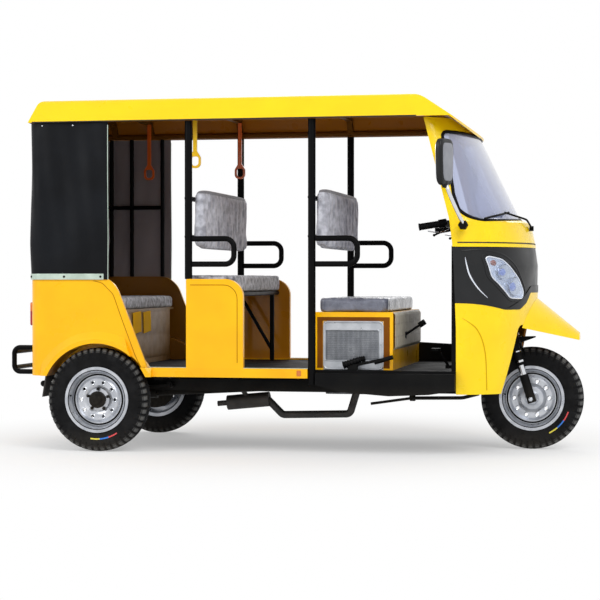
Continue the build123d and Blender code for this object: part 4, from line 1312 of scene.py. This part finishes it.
def loaf(half: Sequence, centre: Sequence, square: float = 0.3, rows: int = 28, sides: int = 48,
         turn: float = 0.0, foot: float = 1.0) -> Rows:
    """A rounded block: a superquadric, whose three coordinates are powers of sines and cosines.

    Args:
        half: half sizes along x, y and z.
        centre: its middle.
        square: the power, where 1 is an ellipsoid and 0 a box.
        rows: levels from foot to top.
        sides: points round each level.
        turn: turn about z in degrees.
        foot: width at the foot as a share of the width at the top.

    Returns:
        Points and faces.
    """
    def power(v: np.ndarray) -> np.ndarray:
        """The sine or cosine, raised with its sign kept.

        Args:
            v: sines or cosines.

        Returns:
            The same, raised.
        """
        return np.sign(v) * np.abs(v) ** square

    rise = np.linspace(-math.pi / 2, math.pi / 2, rows)[:, None]
    round_ = np.linspace(0, 2 * math.pi, sides, endpoint=False)[None]
    z = power(np.sin(rise)) + 0 * round_
    wide = foot + (1 - foot) * (z + 1) / 2
    ring = power(np.abs(np.cos(rise)))
    x = half[0] * ring * power(np.cos(round_))
    y = half[1] * ring * power(np.sin(round_)) * wide
    a = math.radians(turn)
    points = stacked(x * math.cos(a) - y * math.sin(a), x * math.sin(a) + y * math.cos(a), half[2] * z)
    return (points + np.asarray(centre, float)).reshape(-1, 3), quads(rows, sides, False, True)


def dished(outline: np.ndarray, centre: Sequence, rings: int, out: Sequence[float], thick: float,
           sunk: Sequence[float] = (0.0,)) -> Rows:
    """A shell on the front body's skin: the outline drawn in ring by ring to a centre.

    Args:
        outline: closed front-view (y, z) rows.
        centre: the front-view point that the rings close on.
        rings: how many rings.
        out: distances outwards from the skin, from the centre to the outline, evenly spaced.
        thick: how far the second face lies behind the first.
        sunk: distances moved backwards along x, from the centre to the outline.

    Returns:
        Points and faces of a closed shell.
    """
    share = np.linspace(0.0, 1.0, rings)
    middle = np.asarray(centre, float)
    flat = middle + share[:, None, None] * (outline - middle)[None]
    level = np.interp(share, np.linspace(0, 1, len(out)), out)
    points, normal = on_front(flat.reshape(-1, 2), np.repeat(level, len(outline)))
    grid = points.reshape(rings, len(outline), 3)
    grid[..., 0] -= np.interp(share, np.linspace(0, 1, len(sunk)), sunk)[:, None]
    return walled(grid, -thick * normal.reshape(grid.shape), wrap=True)


def plump(made: bpy.types.Object, box: Sequence, voxel: float, cap: float, pressure: float = 4.0,
          shrink: float = -0.06, frames: int = 20) -> None:
    """Remeshes a closed skin evenly and fills it by a short cloth simulation.

    Each point moves by no more than cap from where it began, and stays in the box.

    Args:
        made: the piece, in metres.
        box: low and high corners in millimetres from the rear axle.
        voxel: the even mesh's cell in millimetres.
        cap: the greatest move in millimetres.
        pressure: the filling's pressure.
        shrink: below 0 the cloth grows, which wrinkles it.
        frames: how long the simulation runs.
    """
    remesh = made.modifiers.new("even", "REMESH")
    remesh.mode, remesh.voxel_size, remesh.use_smooth_shade = "VOXEL", voxel * MM, True
    _apply(made)
    start = _points(made)
    cloth = made.modifiers.new("filling", "CLOTH")
    cloth.settings.quality = 5
    cloth.settings.mass = 0.3
    cloth.settings.use_pressure = True
    cloth.settings.uniform_pressure_force = pressure
    cloth.settings.shrink_min = shrink
    cloth.settings.effector_weights.gravity = 0.0
    cloth.point_cache.frame_start, cloth.point_cache.frame_end = 1, frames
    for frame in range(1, frames + 1):
        bpy.context.scene.frame_set(frame)
        bpy.context.view_layer.update()
    _apply(made)
    bpy.context.scene.frame_set(1)
    moved = _points(made) - start
    far = np.linalg.norm(moved, axis=1, keepdims=True)
    points = start + moved * np.minimum(1.0, cap * MM / np.maximum(far, 1e-9))
    low, high = place(np.array(box[0], float)), place(np.array(box[1], float))
    _set_points(made, np.clip(points, low, high))


def _apply(made: bpy.types.Object) -> None:
    """Puts the evaluated mesh in the object's place and clears its modifiers.

    Args:
        made: the piece.
    """
    finished = bpy.data.meshes.new_from_object(made.evaluated_get(bpy.context.evaluated_depsgraph_get()))
    finished.name = made.name
    made.modifiers.clear()
    made.data = finished


def _points(made: bpy.types.Object) -> np.ndarray:
    """Reads the mesh's points.

    Args:
        made: the piece.

    Returns:
        One row of x, y and z in metres for each point.
    """
    flat = np.empty(len(made.data.vertices) * 3)
    made.data.vertices.foreach_get("co", flat)
    return flat.reshape(-1, 3)


def _set_points(made: bpy.types.Object, points: np.ndarray) -> None:
    """Writes the mesh's points.

    Args:
        made: the piece.
        points: one row of x, y and z in metres for each point.
    """
    made.data.vertices.foreach_set("co", points.ravel())
    made.data.update()


@dataclass
class Pad:
    """One cushion or backrest in its loose cover."""

    node: str
    x: tuple[float, float]
    z: tuple[float, float]
    half: float
    finish: Finish
    slot: str = "grey_fabric"
    gathered: bool = False
    voxel: float = 10.5
    seed: int = 3
    band: float = 26.0
    fold: float = 4.6
    crumple: tuple[float, float] = (95.0, 38.0)

    def build(self, shop: Workshop) -> None:
        """Makes the rounded block, fills it, then creases its cover.

        Args:
            shop: where pieces are made.
        """
        half = ((self.x[1] - self.x[0]) / 2, self.half, (self.z[1] - self.z[0]) / 2)
        middle = (sum(self.x) / 2, 0.0, sum(self.z) / 2)
        slack = 5.0 if self.gathered else 2.0
        inner = (half[0] - slack, half[1] - 2, half[2] - 2)
        made = shop.piece(self.node + "_cover", [loaf(inner, middle, 0.2, 72, 160)], self.finish,
                          replaces=(self.node,), crease=80.0)
        box = ((self.x[0], -self.half, self.z[0]), (self.x[1], self.half, self.z[1]))
        plump(made, box, self.voxel, 4.0 if self.gathered else 12.0)
        shape = self._gather if self.gathered else self._crumple
        _set_points(made, shape(_points(made) / MM) * MM)
        for polygon in made.data.polygons:
            polygon.use_smooth = True
        fine = made.modifiers.new("fine", "SUBSURF")
        fine.levels = fine.render_levels = 1

    def _away(self, p: np.ndarray) -> np.ndarray:
        """How far points lie ahead of the pad's middle.

        Args:
            p: points in millimetres from the frame's origin.

        Returns:
            Distances along x.
        """
        return p[:, 0] + AXLE_TO_ORIGIN - sum(self.x) / 2

    def _gather(self, p: np.ndarray) -> np.ndarray:
        """Folds that fall from the top band: a sine across, bent by a slow one, fading in the band.

        Args:
            p: points in millimetres from the frame's origin.

        Returns:
            The same points, moved.
        """
        top = self.z[1] - self.band
        below = ramp((top - p[:, 2]) / 14.0)
        bend = 1.3 * np.sin(p[:, 1] / 83.0) + 0.9 * np.sin(p[:, 2] / 61.0 + p[:, 1] / 47.0)
        fold = np.sin(p[:, 1] / 15.0 + bend) + 0.55 * np.sin(p[:, 1] / 7.3 - 1.7 * bend)
        groove = np.exp(-((p[:, 2] - top) / 5.0) ** 2)
        shift = below * (self.fold * fold - 0.5) - 4.5 * groove
        p[:, 0] += np.clip(self._away(p) / 12.0, -1, 1) * shift
        return p

    def _crumple(self, p: np.ndarray) -> np.ndarray:
        """Creases over the top and the edges, from folded sines.

        Args:
            p: points in millimetres from the frame's origin.

        Returns:
            The same points, moved.
        """
        crease = ripple(p, self.crumple[0], self.seed, 9)
        fine = ripple(p, self.crumple[1], self.seed + 1, 7)
        up = ramp((p[:, 2] - self.z[0]) / 20.0)
        p[:, 2] -= up * (13.0 * (1 - crease) + 6.0 * (1 - fine)) - 7.0 * up
        away = self._away(p)
        reach = (self.x[1] - self.x[0]) / 2
        p[:, 0] -= np.sign(away) * ramp((abs(away) - reach + 25) / 20) * 11.0 * (1 - fine)
        return p


@dataclass
class SeatFronts:
    """Quilted panels on the seats' fronts, the yellow tie straps, and the radiator's core."""

    pleat: float = 49.0
    front: float = 1508.0
    levels: tuple[float, float] = (526.0, 712.0)
    half: float = 488.0
    buttons: tuple[float, float] = (655.0, 590.0)
    rear_front: float = 86.0
    rear_levels: tuple[float, float] = (452.0, 700.0)
    rear_half: float = 470.0
    rear_rows: int = 2
    # Tie straps: middle along y and width
    straps: tuple = ((-205.0, 150.0), (-15.0, 140.0))
    # Plates of painted shade round the radiator: two limits along x, then two levels
    shade_plates: tuple = ((1124, 1152, 434, 690), (1462, 1492, 434, 690), (1151, 1463, 671, 690))
    core: tuple[float, float, float, float] = (1166.0, 1435.0, 474.0, 623.0)
    # Radiator rims: two limits along x, two levels, corner radius, steps to a corner, points and section
    rims: tuple = ((1158, 1457, 429, 666, 20, 8, 160, circle(5.5, 12)),
                   (1163, 1438, 471, 626, 8, 6, 120, circle(3.0, 10)))

    def build(self, shop: Workshop) -> None:
        """Makes the quilts, their buttons, the straps and the radiator's dressing.

        Args:
            shop: where pieces are made.
        """
        self._driver(shop)
        self._rear(shop)
        self._radiator(shop)

    def _driver(self, shop: Workshop) -> None:
        """The buttoned quilt: each pleat is a cosine's size to a power below 1, dented at the buttons.

        Args:
            shop: where pieces are made.
        """
        y = np.linspace(-self.half, self.half, 241)[None]
        z = np.linspace(*self.levels, 40)[:, None]
        edge = ramp(np.minimum(z - self.levels[0], self.levels[1] - z) / 14.0)
        soft = np.abs(np.cos(math.pi * y / self.pleat)) ** 0.45
        dent = sum(np.exp(-((z - b) / 11.0) ** 2) for b in self.buttons)
        grid = stacked(self.front + 1.5 + 10.5 * edge * (soft - 0.3 * dent * (1 - soft)), y, z)
        shop.piece("driver_quilt", [walled(grid, (-1.0, 0, 0))], QUILT_BEIGE, crease=70.0)
        valleys = [b for b in np.arange(-9.5, 10, 1.0) * self.pleat if abs(b) < self.half]
        x, low, high = self.front + 2.6, self.levels[0] + 6, self.levels[1] - 6
        seams = [carried([(x, b, low), (x, b, high)], oblong(9.0, 2.4, 2, 8), up=(1, 0, 0)) for b in valleys]
        shop.piece("quilt_seams", seams, BUTTON_BROWN)
        spots = [(self.front + 4.0, b, h) for h in self.buttons for b in valleys]
        shop.piece("quilt_buttons", [studs(spots, (1, 0, 0), 6.5, 6.0, 10)], BUTTON_BROWN)

    def _rear(self, shop: Workshop) -> None:
        """The rear quilt, whose swell is the square root of a sine for each row, and the tie straps.

        Args:
            shop: where pieces are made.
        """
        low, high = self.rear_levels
        z = np.linspace(low, high, 32)[:, None]
        y = np.linspace(-self.rear_half, self.rear_half, 121)[None]
        tall = (high - low) / self.rear_rows
        ends = ramp((self.rear_half - np.abs(y)) / 12)
        swell = 4.0 * np.abs(np.sin(math.pi * (z - low) / tall)) ** 0.5 * ends
        grid = stacked(self.rear_front + swell, y, z)
        shop.piece("rear_quilt", [walled(grid, (-0.8, 0, 0))], QUILT_BROWN, crease=70.0)
        straps = [carried([(93.5, c, 706), (95.0, c + 3, 650), (93.5, c + 8, 594)], oblong(w, 2.4, 6),
                          up=(1, 0, 0)) for c, w in self.straps]
        shop.piece("tie_straps", straps, STRAP_WEBBING)

    def _radiator(self, shop: Workshop) -> None:
        """The plates of painted shade round the radiator, its folded fins and rolled rims, and the lever's
        gaiter.

        Args:
            shop: where pieces are made.
        """
        face = [plate(np.array([(a, c), (b, c), (b, d), (a, d)], float), -501.4, -499.6, edge=0.4)
                for a, b, c, d in self.shade_plates]
        shop.piece("seat_box_shade_plates", face, PAINTED_RECESS_SHADE)
        x0, x1, z0, z1 = self.core
        x = np.linspace(x0, x1, 300)[None]
        z = np.linspace(z0, z1, 34)[:, None]
        fold = 2.4 * np.sin(2 * math.pi * x / 6.4) + 0.7 * np.sin(2 * math.pi * z / 9.0)
        grid = stacked(x, -491.5 + fold, z)
        shop.piece("radiator_fins", [walled(grid, (0, 1.0, 0))], CORE_GREY, crease=70.0)
        rims = []
        for a, b, c, d, turn, steps, count, tube in self.rims:
            loop = even(rounded([(a, c, turn), (b, c, turn), (b, d, turn), (a, d, turn)], steps), count, True)
            rims.append(carried(stacked(loop[:, 0], -497.5, loop[:, 1]), tube, up=(0, 1, 0), closed=True))
        shop.piece("radiator_rim", rims, TANK_ALLOY)
        run = smooth([(1262, -530, 449), (1300, -530, 462), (1345, -530, 478), (1372, -530, 484)], 60)
        swell = np.linspace(1.0, 0.72, 60) * (1 + 0.13 * np.sin(np.linspace(0, 2 * math.pi * 9, 60)))
        shop.piece("lever_gaiter", [carried(run, circle(18.0, 20), grow=swell)], SEAL_RUBBER)


@dataclass
class Curtain:
    """The rear curtain: coated cloth hung from the roof, clamped under an aluminium strip."""

    front: float = 58.0
    rear: float = -372.0
    out: float = 603.0
    low: float = 878.0
    high: float = 1680.0
    corner: float = 73.0
    strip_z: float = 893.0
    eyelet_z: float = 1666.0
    columns: int = 300
    rows: int = 54

    def _path(self, front: float, out: float, rear: float, count: int) -> tuple[np.ndarray, np.ndarray]:
        """The plan line round the back, and its outward normals.

        Args:
            front: where it begins and ends along x.
            out: its distance to each side.
            rear: its distance back.
            count: how many points.

        Returns:
            The points, and a unit vector for each.
        """
        turn = self.corner + out - self.out
        corners = [(front, -out), (rear, -out, turn), (rear, out, turn), (front, out)]
        line = even(rounded(corners, 12, closed=False), count)
        tangent = unit(np.gradient(line, axis=0))
        return line, np.stack([-tangent[:, 1], tangent[:, 0]], -1)

    def build(self, shop: Workshop) -> None:
        """Hangs the cloth in shallow waves, then adds its piping, eyelets, strip and bolts.

        Hangs the cloth in shallow waves, then adds pale tubes along its front hems as painted highlight, and
        its eyelets, strip and bolts.

        Args:
            shop: where pieces are made.
        """
        line, normal = self._path(self.front, self.out, self.rear, self.columns)
        run = np.concatenate([[0], np.cumsum(np.linalg.norm(np.diff(line, axis=0), axis=1))])[None]
        z = np.linspace(self.low, self.high, self.rows)[:, None]
        hold = ramp((z - 905.0) / 160.0) * (0.35 + 0.65 * ramp((self.high - z) / 240.0))
        wave = (4.5 * np.sin(2 * math.pi * (run / 262.0 + z / 1500.0))
                + 2.2 * np.sin(2 * math.pi * (run / 97.0 - z / 800.0)))
        shift = hold * (wave + 1.5)
        grid = stacked(line[None, :, 0] + normal[None, :, 0] * shift,
                       line[None, :, 1] + normal[None, :, 1] * shift, z)
        push = stacked(normal[:, 0], normal[:, 1], 0.0)[None] * 1.6
        cloth = shop.piece("curtain_cloth", [walled(grid, push)], CURTAIN_PVC,
                           replaces=("curtain",))
        # The front hems, drawn as pale tubes: painted highlight.
        edges = [carried(grid[::4, c] + (0, s * 0.8, 0), circle(2.2, 10), up=(1, 0, 0))
                 for c, s in ((0, -1), (-1, 1))]
        hem_painted_highlight = shop.piece("curtain_hem_painted_highlight", edges, STRIP_ALLOY)
        spots, ways = self._path(self.front - 22, self.out + 1.5, self.rear - 1.5, 13)
        rings = [studs([(p[0], p[1], self.eyelet_z)], (w[0], w[1], 0), 4.5, 2.5, 12)
                 for p, w in zip(spots, ways)]
        eyelets = shop.piece("curtain_eyelets", rings, ZINC)
        plan, _ = self._path(36.0, 607.0, -376.0, 160)
        strip = stacked(plan[:, 0], plan[:, 1], self.strip_z)
        shop.piece("curtain_strip", [carried(strip, oblong(3.0, 30.0, 8))], STRIP_ALLOY)
        at, ways = self._path(20.0, 608.5, -377.5, 11)
        bolts = [studs([(p[0], p[1], self.strip_z)], (w[0], w[1], 0), 6.0, 4.0) for p, w in zip(at, ways)]
        shop.piece("strip_bolts", bolts, SEAL_RUBBER)


@dataclass
class SideLines:
    """Pressed lines and the roof's edge line in painted shade, floor trims, reflectors and bolts of the rear
    and middle body.
    """

    skin: float = 600.4
    # Pressed lines in side view: x, height and corner radius
    rear: tuple = ((-20, 872), (26, 861, 40), (84, 805, 60), (132, 673, 200), (200, 495, 200), (232, 429))
    middle: tuple = ((490, 851), (733, 851, 70), (733, 459))
    trims: tuple = ((272, 466), (766, 1094))
    trim_z: float = 433.5
    reflector: tuple = ((1038, 396, 3), (1060, 396, 3), (1060, 424, 3), (1038, 424, 3))
    bolt_levels: tuple[float, float] = (1330.0, 1050.0)
    roof_line: tuple = ((1640, -620.5), (-363, -620.5, 12), (-363, 620.5, 12), (1640, 620.5))
    roof_z: float = 1683.5

    def _drawn(self, rows: Sequence, width: float, depth: float, count: int = 90) -> Rows:
        """A side-view line, rounded at its corners, as a low bead on the right of the body.

        Args:
            rows: x, height and corner radius.
            width: the bead's width.
            depth: how far it stands out, half of it each way.
            count: how many points.

        Returns:
            Points and faces.
        """
        line = even(rounded(rows, 10, closed=False), count)
        path = stacked(line[:, 0], -self.skin, line[:, 1])
        return carried(path, oblong(width, depth, 3.0, 10), up=(0, 1, 0))

    def build(self, shop: Workshop) -> None:
        """Makes them on the right and mirrors them.

        Args:
            shop: where pieces are made.
        """
        # Low beads in painted shade along the pressed lines.
        lines = [self._drawn(rows, 4.0, 1.4) for rows in (self.rear, self.middle)]
        shop.piece("pressed_lines", mirrored(lines), CREASE_SHADE)
        trims = [carried([(a, -593.0, self.trim_z), (b, -593.0, self.trim_z)], oblong(10.0, 3.0, 8, 12))
                 for a, b in self.trims]
        shop.piece("floor_trims", mirrored(trims), STRIP_ALLOY)
        amber = plate(rounded(self.reflector, 5), -602.6, -600.2)
        shop.piece("side_reflectors", mirrored([amber]), REFLECTOR_AMBER)
        spots = [(x - 12.0, -POST_Y, z) for x in POST_X for z in self.bolt_levels]
        shop.piece("post_bolts", mirrored([studs(spots, (-1, 0, 0), 7.0, 6.0, 6)]), TUBE_BLACK)
        # The dark line under the roof's lower edge is painted shade.
        rail = even(rounded(self.roof_line, 6, closed=False), 120)
        edge = stacked(rail[:, 0], rail[:, 1], self.roof_z)
        shop.piece("roof_edge_painted_shade", [carried(edge, oblong(5.0, 6.0, 3, 10))], SEAM_DARK)


@dataclass
class Front:
    """Screen seal, mask lines, headlamps, mirrors and the bars' grips."""

    glass: tuple = ((-518.0, 1612.0, 30.0), (-545.0, 1300.0, 300.0), (-546.0, 1170.0, 60.0), (-60.0, 1186.0))
    lamp: tuple = ((-512.0, 997.0, 12.0), (-440.0, 978.0, 60.0), (-330.0, 880.0, 60.0), (-282.0, 815.0, 30.0),
                   (-296.0, 782.0, 20.0), (-395.0, 786.0, 40.0), (-490.0, 890.0, 60.0))
    lamp_middle: tuple[float, float] = (-395.0, 885.0)
    fork_y: float = -95.0
    # Fork sleeves: two distances up the steering axis, and a radius
    sleeves: tuple = ((129, 182, 18.2), (196, 206, 25.4), (250, 256, 25.4), (330, 342, 25.4))

    def build(self, shop: Workshop) -> None:
        """Makes each part in turn.

        Args:
            shop: where pieces are made.
        """
        self._lines(shop)
        self._chin(shop)
        self._lamps(shop)
        self._mirrors(shop)
        self._bars(shop)

    def _lines(self, shop: Workshop) -> None:
        """Seal, seams and raised lines, each carried along the skin with its normals as up.

        Args:
            shop: where pieces are made.
        """
        rows = list(self.glass) + [(-row[0],) + row[1:] for row in self.glass[::-1]]
        path, normal = on_front(even(rounded(rows, 12), 420, True), 0.5)
        shop.piece("screen_seal", [carried(path, oblong(17.0, 8.0, 2.6, 12), up=normal, closed=True)],
                   SEAL_RUBBER)
        theta = np.radians(np.linspace(-86, 86, 160))
        path, normal = front_skin(theta, np.full(160, 1061.0), 0.2)
        shop.piece("band_seam", [carried(path, oblong(7.0, 1.6, 3, 8), up=normal)], SEAM_DARK)
        silver = [(1874, 989), (1883, 945), (1898, 896), (1935, 837), (1982, 787)]
        path, normal = on_side(smooth(silver, 48), -1.0)
        taper = np.sin(np.linspace(0.06, math.pi - 0.06, 48)) ** 0.6
        line = carried(path, oblong(8.0, 5.0, 2, 12), up=normal, grow=taper)
        shop.piece("mask_crescents", mirrored([line]), LAMP_SILVER)
        # The cowl creases are thin beads in painted shade.
        crease = [(1859, 689), (1897, 664), (1931, 632), (1958, 570), (1972, 481), (1976, 330)]
        path, normal = on_side(smooth(crease, 60), 0.0)
        line = carried(path, oblong(6.0, 2.6, 2, 10), up=normal, grow=ramp(np.linspace(0.2, 3, 60)))
        shop.piece("cowl_creases", mirrored([line]), COWL_CREASE_SHADE)
        brow = smooth([(-556, 1020), (-530, 1024), (-480, 1018), (-420, 995), (-360, 950), (-310, 890),
                       (-268, 830), (-262, 790)], 60)
        path, normal = on_front(brow, -3.0)
        lines = [carried(path, oblong(9.0, 6.0, 2, 10), up=normal)]
        middle = np.array(self.lamp_middle)
        ring = even(rounded(self.lamp, 8), 120, True)
        far = np.linalg.norm(ring - middle, axis=1, keepdims=True)
        wider = middle + (ring - middle) * (1 + 16.0 / far)
        path, normal = on_front(wider, -3.0)
        lines.append(carried(path, oblong(7.0, 7.0, 2, 10), up=normal, closed=True))
        shop.piece("mask_lines", mirrored(lines), MASK_ABS)

    def _chin(self, shop: Workshop) -> None:
        """The mask's lower lip: a thin sheet on the skin between two front-view lines.

        Args:
            shop: where pieces are made.
        """
        y = np.linspace(-535.0, 0.0, 120)
        upper = even(rounded([(-640, 777), (-526, 755, 200), (-415, 728, 60), (-300, 775, 60),
                              (-190, 840, 60), (60, 846)], 10, closed=False), 400)
        lower = even(rounded([(-640, 777), (-526, 755, 200), (-430, 728, 80), (-320, 728, 50),
                              (-250, 762, 30), (-195, 812, 20), (60, 812)], 10, closed=False), 400)
        top = np.interp(y, upper[:, 0], upper[:, 1]) + 5
        foot = np.minimum(np.interp(y, lower[:, 0], lower[:, 1]), top - 5.2)
        share = np.linspace(0, 1, 14)[:, None]
        z = top + share * (foot - top)
        points, normal = on_front(np.stack([y + 0 * z, z], -1).reshape(-1, 2), 1.2)
        grid = points.reshape(14, 120, 3)
        chin = walled(grid, -2.0 * normal.reshape(grid.shape))
        shop.piece("mask_chin", mirrored([chin]), MASK_ABS)

    def _lamps(self, shop: Workshop) -> None:
        """Lens, faceted bowl, rim, two round reflectors, their blue discs of painted reflection and the amber
        bulb.

        Args:
            shop: where pieces are made.
        """
        ring = even(rounded(self.lamp, 8), 96, True)
        middle = self.lamp_middle
        lens = dished(ring, middle, 14, (3.0, 2.6, 1.6, 0.0), 2.2)
        shop.piece("headlamps_lens", mirrored([lens]), LAMP_LENS, crease=60.0)
        facet = ring - middle
        facet = middle + facet * (0.985 + 0.012 * np.sign(np.sin(np.arange(96) * math.pi / 4)))[:, None]
        bowl = dished(facet, middle, 8, (-2.0,), 3.0, (24, 24, 23, 21, 19, 16, 14, 0.5))
        shop.piece("headlamps_bowl", mirrored([bowl]), LAMP_SILVER, replaces=("headlamps",),
                   crease=8.0)
        path, normal = on_front(ring, -2.5)
        rim = carried(path, oblong(7.0, 7.0, 2, 10), up=normal, closed=True)
        shop.piece("headlamps_rim", mirrored([rim]), LAMP_SILVER)
        cups, glass = [], []
        for y, z, r in ((-352.0, 842.0, 44.0), (-425.0, 915.0, 36.0)):
            cups.append(dished(circle(r, 40) + (y, z), (y, z), 8, (-3.0,), 2.5, (20, 17, 10, 2)))
            glass.append(dished(circle(r * 0.55, 28) + (y, z), (y, z), 6, (-3.0,), 3.0, (1, 4, 10, 15)))
        shop.piece("headlamps_cups", mirrored(cups), CHROME, crease=60.0)
        # The blue discs in the reflector cups are painted reflection.
        shop.piece("headlamps_painted_reflection", mirrored(glass), LAMP_BLUE, crease=60.0)
        spot = (-478.0, 962.0)
        bulb = dished(circle(17, 24) + spot, spot, 6, (-4, -5, -9, -16), 3.0)
        shop.piece("headlamps_amber", mirrored([bulb]), LAMP_AMBER, crease=60.0)

    def _mirrors(self, shop: Workshop) -> None:
        """Knob, bent arm, housing, the panel on its back and the glass that faces the rider.

        Args:
            shop: where pieces are made.
        """
        head = (1785.0, -668.0, 1450.0)
        turn, tilt = -20.0, math.radians(-20.0)
        ahead = np.array([math.cos(tilt), math.sin(tilt), 0.0])
        arm = carried(smooth([(1869, -580, 1145), (1868, -622, 1158), (1850, -655, 1200), (1812, -672, 1290),
                              (1790, -670, 1352)], 40), circle(9.5, 16))
        shop.piece("mirror_arms", mirrored([arm]), CHROME, replaces=("mirrors",))
        knob = lathe([(0, -30), (22, -30), (25, -22), (25, 8), (21, 16), (0, 16)], (1869, -592, 1145), 6,
                     "y", False)
        shop.piece("mirror_knobs", mirrored([knob]), SEAL_RUBBER, crease=30.0)
        case = loaf((20, 74, 114), head, 0.42, 40, 72, turn, 0.84)
        socket = loaf((15, 18, 22), (1789, -670, 1345), 0.6, 16, 24, turn)
        shop.piece("mirror_cases", mirrored([case, socket]), MIRROR_CASE)
        back = loaf((3.0, 56, 92), np.array(head) + ahead * 18.5, 0.4, 24, 48, turn, 0.86)
        shop.piece("mirror_panels", mirrored([back]), MIRROR_BACK)
        face = loaf((2.0, 62, 100), np.array(head) - ahead * 19.2, 0.35, 24, 48, turn, 0.86)
        shop.piece("mirror_glasses", mirrored([face]), MIRROR_GLASS)

    def _bars(self, shop: Workshop) -> None:
        """Ribbed grips with flanges, switch pods, brake levers and the front axle's nuts.

        Args:
            shop: where pieces are made.
        """
        a, b = np.array([1751.0, -330.0, 1164.0]), np.array([1620.0, -360.0, 1143.0])
        run = a + np.linspace(0, 1, 90)[:, None] * (b - a)
        ribs = 1 + 0.045 * np.sin(np.linspace(0, 2 * math.pi * 17, 90))
        ribs[:4], ribs[-4:] = 1.3, 1.08
        grip = carried(run, circle(17.0, 24), grow=ribs)
        shop.piece("grips_ribbed", mirrored([grip]), SEAL_RUBBER, "steering",
                   ("handlebar_grips",))
        pods = [loaf((19, 20, 18), (1762, -328, 1160), 0.5, 18, 28),
                loaf((7, 9, 8), (1748, -332, 1178), 0.6, 12, 18)]
        shop.piece("switch_pods", mirrored(pods), MIRROR_CASE, "steering")
        lever = smooth([(1790, -330, 1158), (1765, -345, 1128), (1720, -362, 1116), (1668, -378, 1122)], 30)
        shop.piece("brake_levers", mirrored([carried(lever, oblong(11, 6, 3, 12))]), ZINC,
                   "steering")
        bands = [carried([steered(low, self.fork_y), steered(high, self.fork_y)], circle(radius, 28))
                 for low, high, radius in self.sleeves]
        shop.piece("fork_sleeves", mirrored(bands), CHROME, "steering")
        nut = studs([(WHEELBASE, -128, TYRE_R)], (0, -1, 0), 13, 12, 6)
        shop.piece("axle_nuts", mirrored([nut]), ZINC, "steering", crease=25.0)


# The finishes of the CAD pieces that stay in view, but for the wheels, which Wheel coats
COATS = (
    (BODY_ENAMEL, ("rear_side_panels", "rear_panel")),
    (SHEET_ENAMEL, ("side_sills", "driver_seat_box")),
    (MID_PANEL_ENAMEL, ("mid_side_panels",)),
    (FRONT_ENAMEL, ("windscreen_surround", "cowl_lower", "front_mudguard")),
    (ROOF_ENAMEL, ("roof",)),
    (FRAME_BLACK, ("upright_frame",)),
    (TUBE_BLACK, ("armrests", "curtain_frame", "rear_bumper", "handlebar", "wiper", "mid_seat_frame")),
    (CHASSIS_BLACK, ("chassis_frame", "rear_axle", "rear_suspension", "prop_shaft", "front_sills",
                     "floor_controls", "front_fork")),
    (MASK_ABS, ("cowl_mask",)),
    (SHIELD_BLACK, ("leg_shield",)),
    (DECK_MAT, ("floor_deck",)),
    (CAST_ALLOY, ("engine",)),
    (WINDSCREEN_GLASS, ("windscreen",)),
    (STRAP_NYLON, ("grab_handles",)),
    (LENS_RED, ("tail_lamps",)),
    (FLAP_RUBBER, ("mud_flaps",)),
    (EXHAUST_BLACK, ("exhaust",)),
    (TANK_ALLOY, ("radiator",)),
    (QUILT_BROWN, ("rear_seat_base",)),
)


def main() -> None:
    """Builds the stage and each sub-assembly in order."""
    logging.basicConfig(level=logging.INFO, format="%(message)s")
    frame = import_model()
    shop = Workshop(frame)
    Stage().build()
    for finish, nodes in COATS:
        shop.coat(finish, *nodes)
    tyres = [
        Tyre("rear_tyre_right", "rear_wheel_right", (0.0, -WHEEL_Y, TYRE_R), -9.0, 33.0),
        Tyre("rear_tyre_left", "rear_wheel_left", (0.0, WHEEL_Y, TYRE_R), -9.0, 33.0),
        Tyre("front_tyre", "front_wheel", (WHEELBASE, 0.0, TYRE_R), 27.0, 70.0),
    ]
    wheels = [
        Wheel("rear_wheel_right", "rear_wheel_right", tyres[0].centre, (-1,)),
        Wheel("rear_wheel_left", "rear_wheel_left", tyres[1].centre, (1,)),
        Wheel("front_wheel", "front_wheel", tyres[2].centre, (-1,), driven=False),
    ]
    pads = [
        Pad("rear_seat_cushion", (-265, 110), (722, 791), 555, SEAT_CLOTH, seed=3),
        Pad("mid_seat_cushion", (430, 727), (817, 904), 555, SEAT_CLOTH, seed=5),
        Pad("driver_seat_cushion", (1110, 1500), (715, 790), 505, FILM_SEAT, "vinyl_seat", seed=7),
        Pad("rear_backrest", (-352.7, -283), (795, 1270), 540, BACK_CLOTH, gathered=True),
        Pad("mid_backrest", (480, 540), (1030, 1345), 500, BACK_CLOTH, gathered=True),
        Pad("driver_backrest", (1115, 1175), (1030, 1345), 500, BACK_CLOTH, gathered=True),
    ]
    for part in tyres + wheels + [Curtain(), SideLines(), SeatFronts(), Front()] + pads:
        part.build(shop)
        log.info("built %s", getattr(part, "name", getattr(part, "node", type(part).__name__)))


if __name__ == "__main__":
    main()
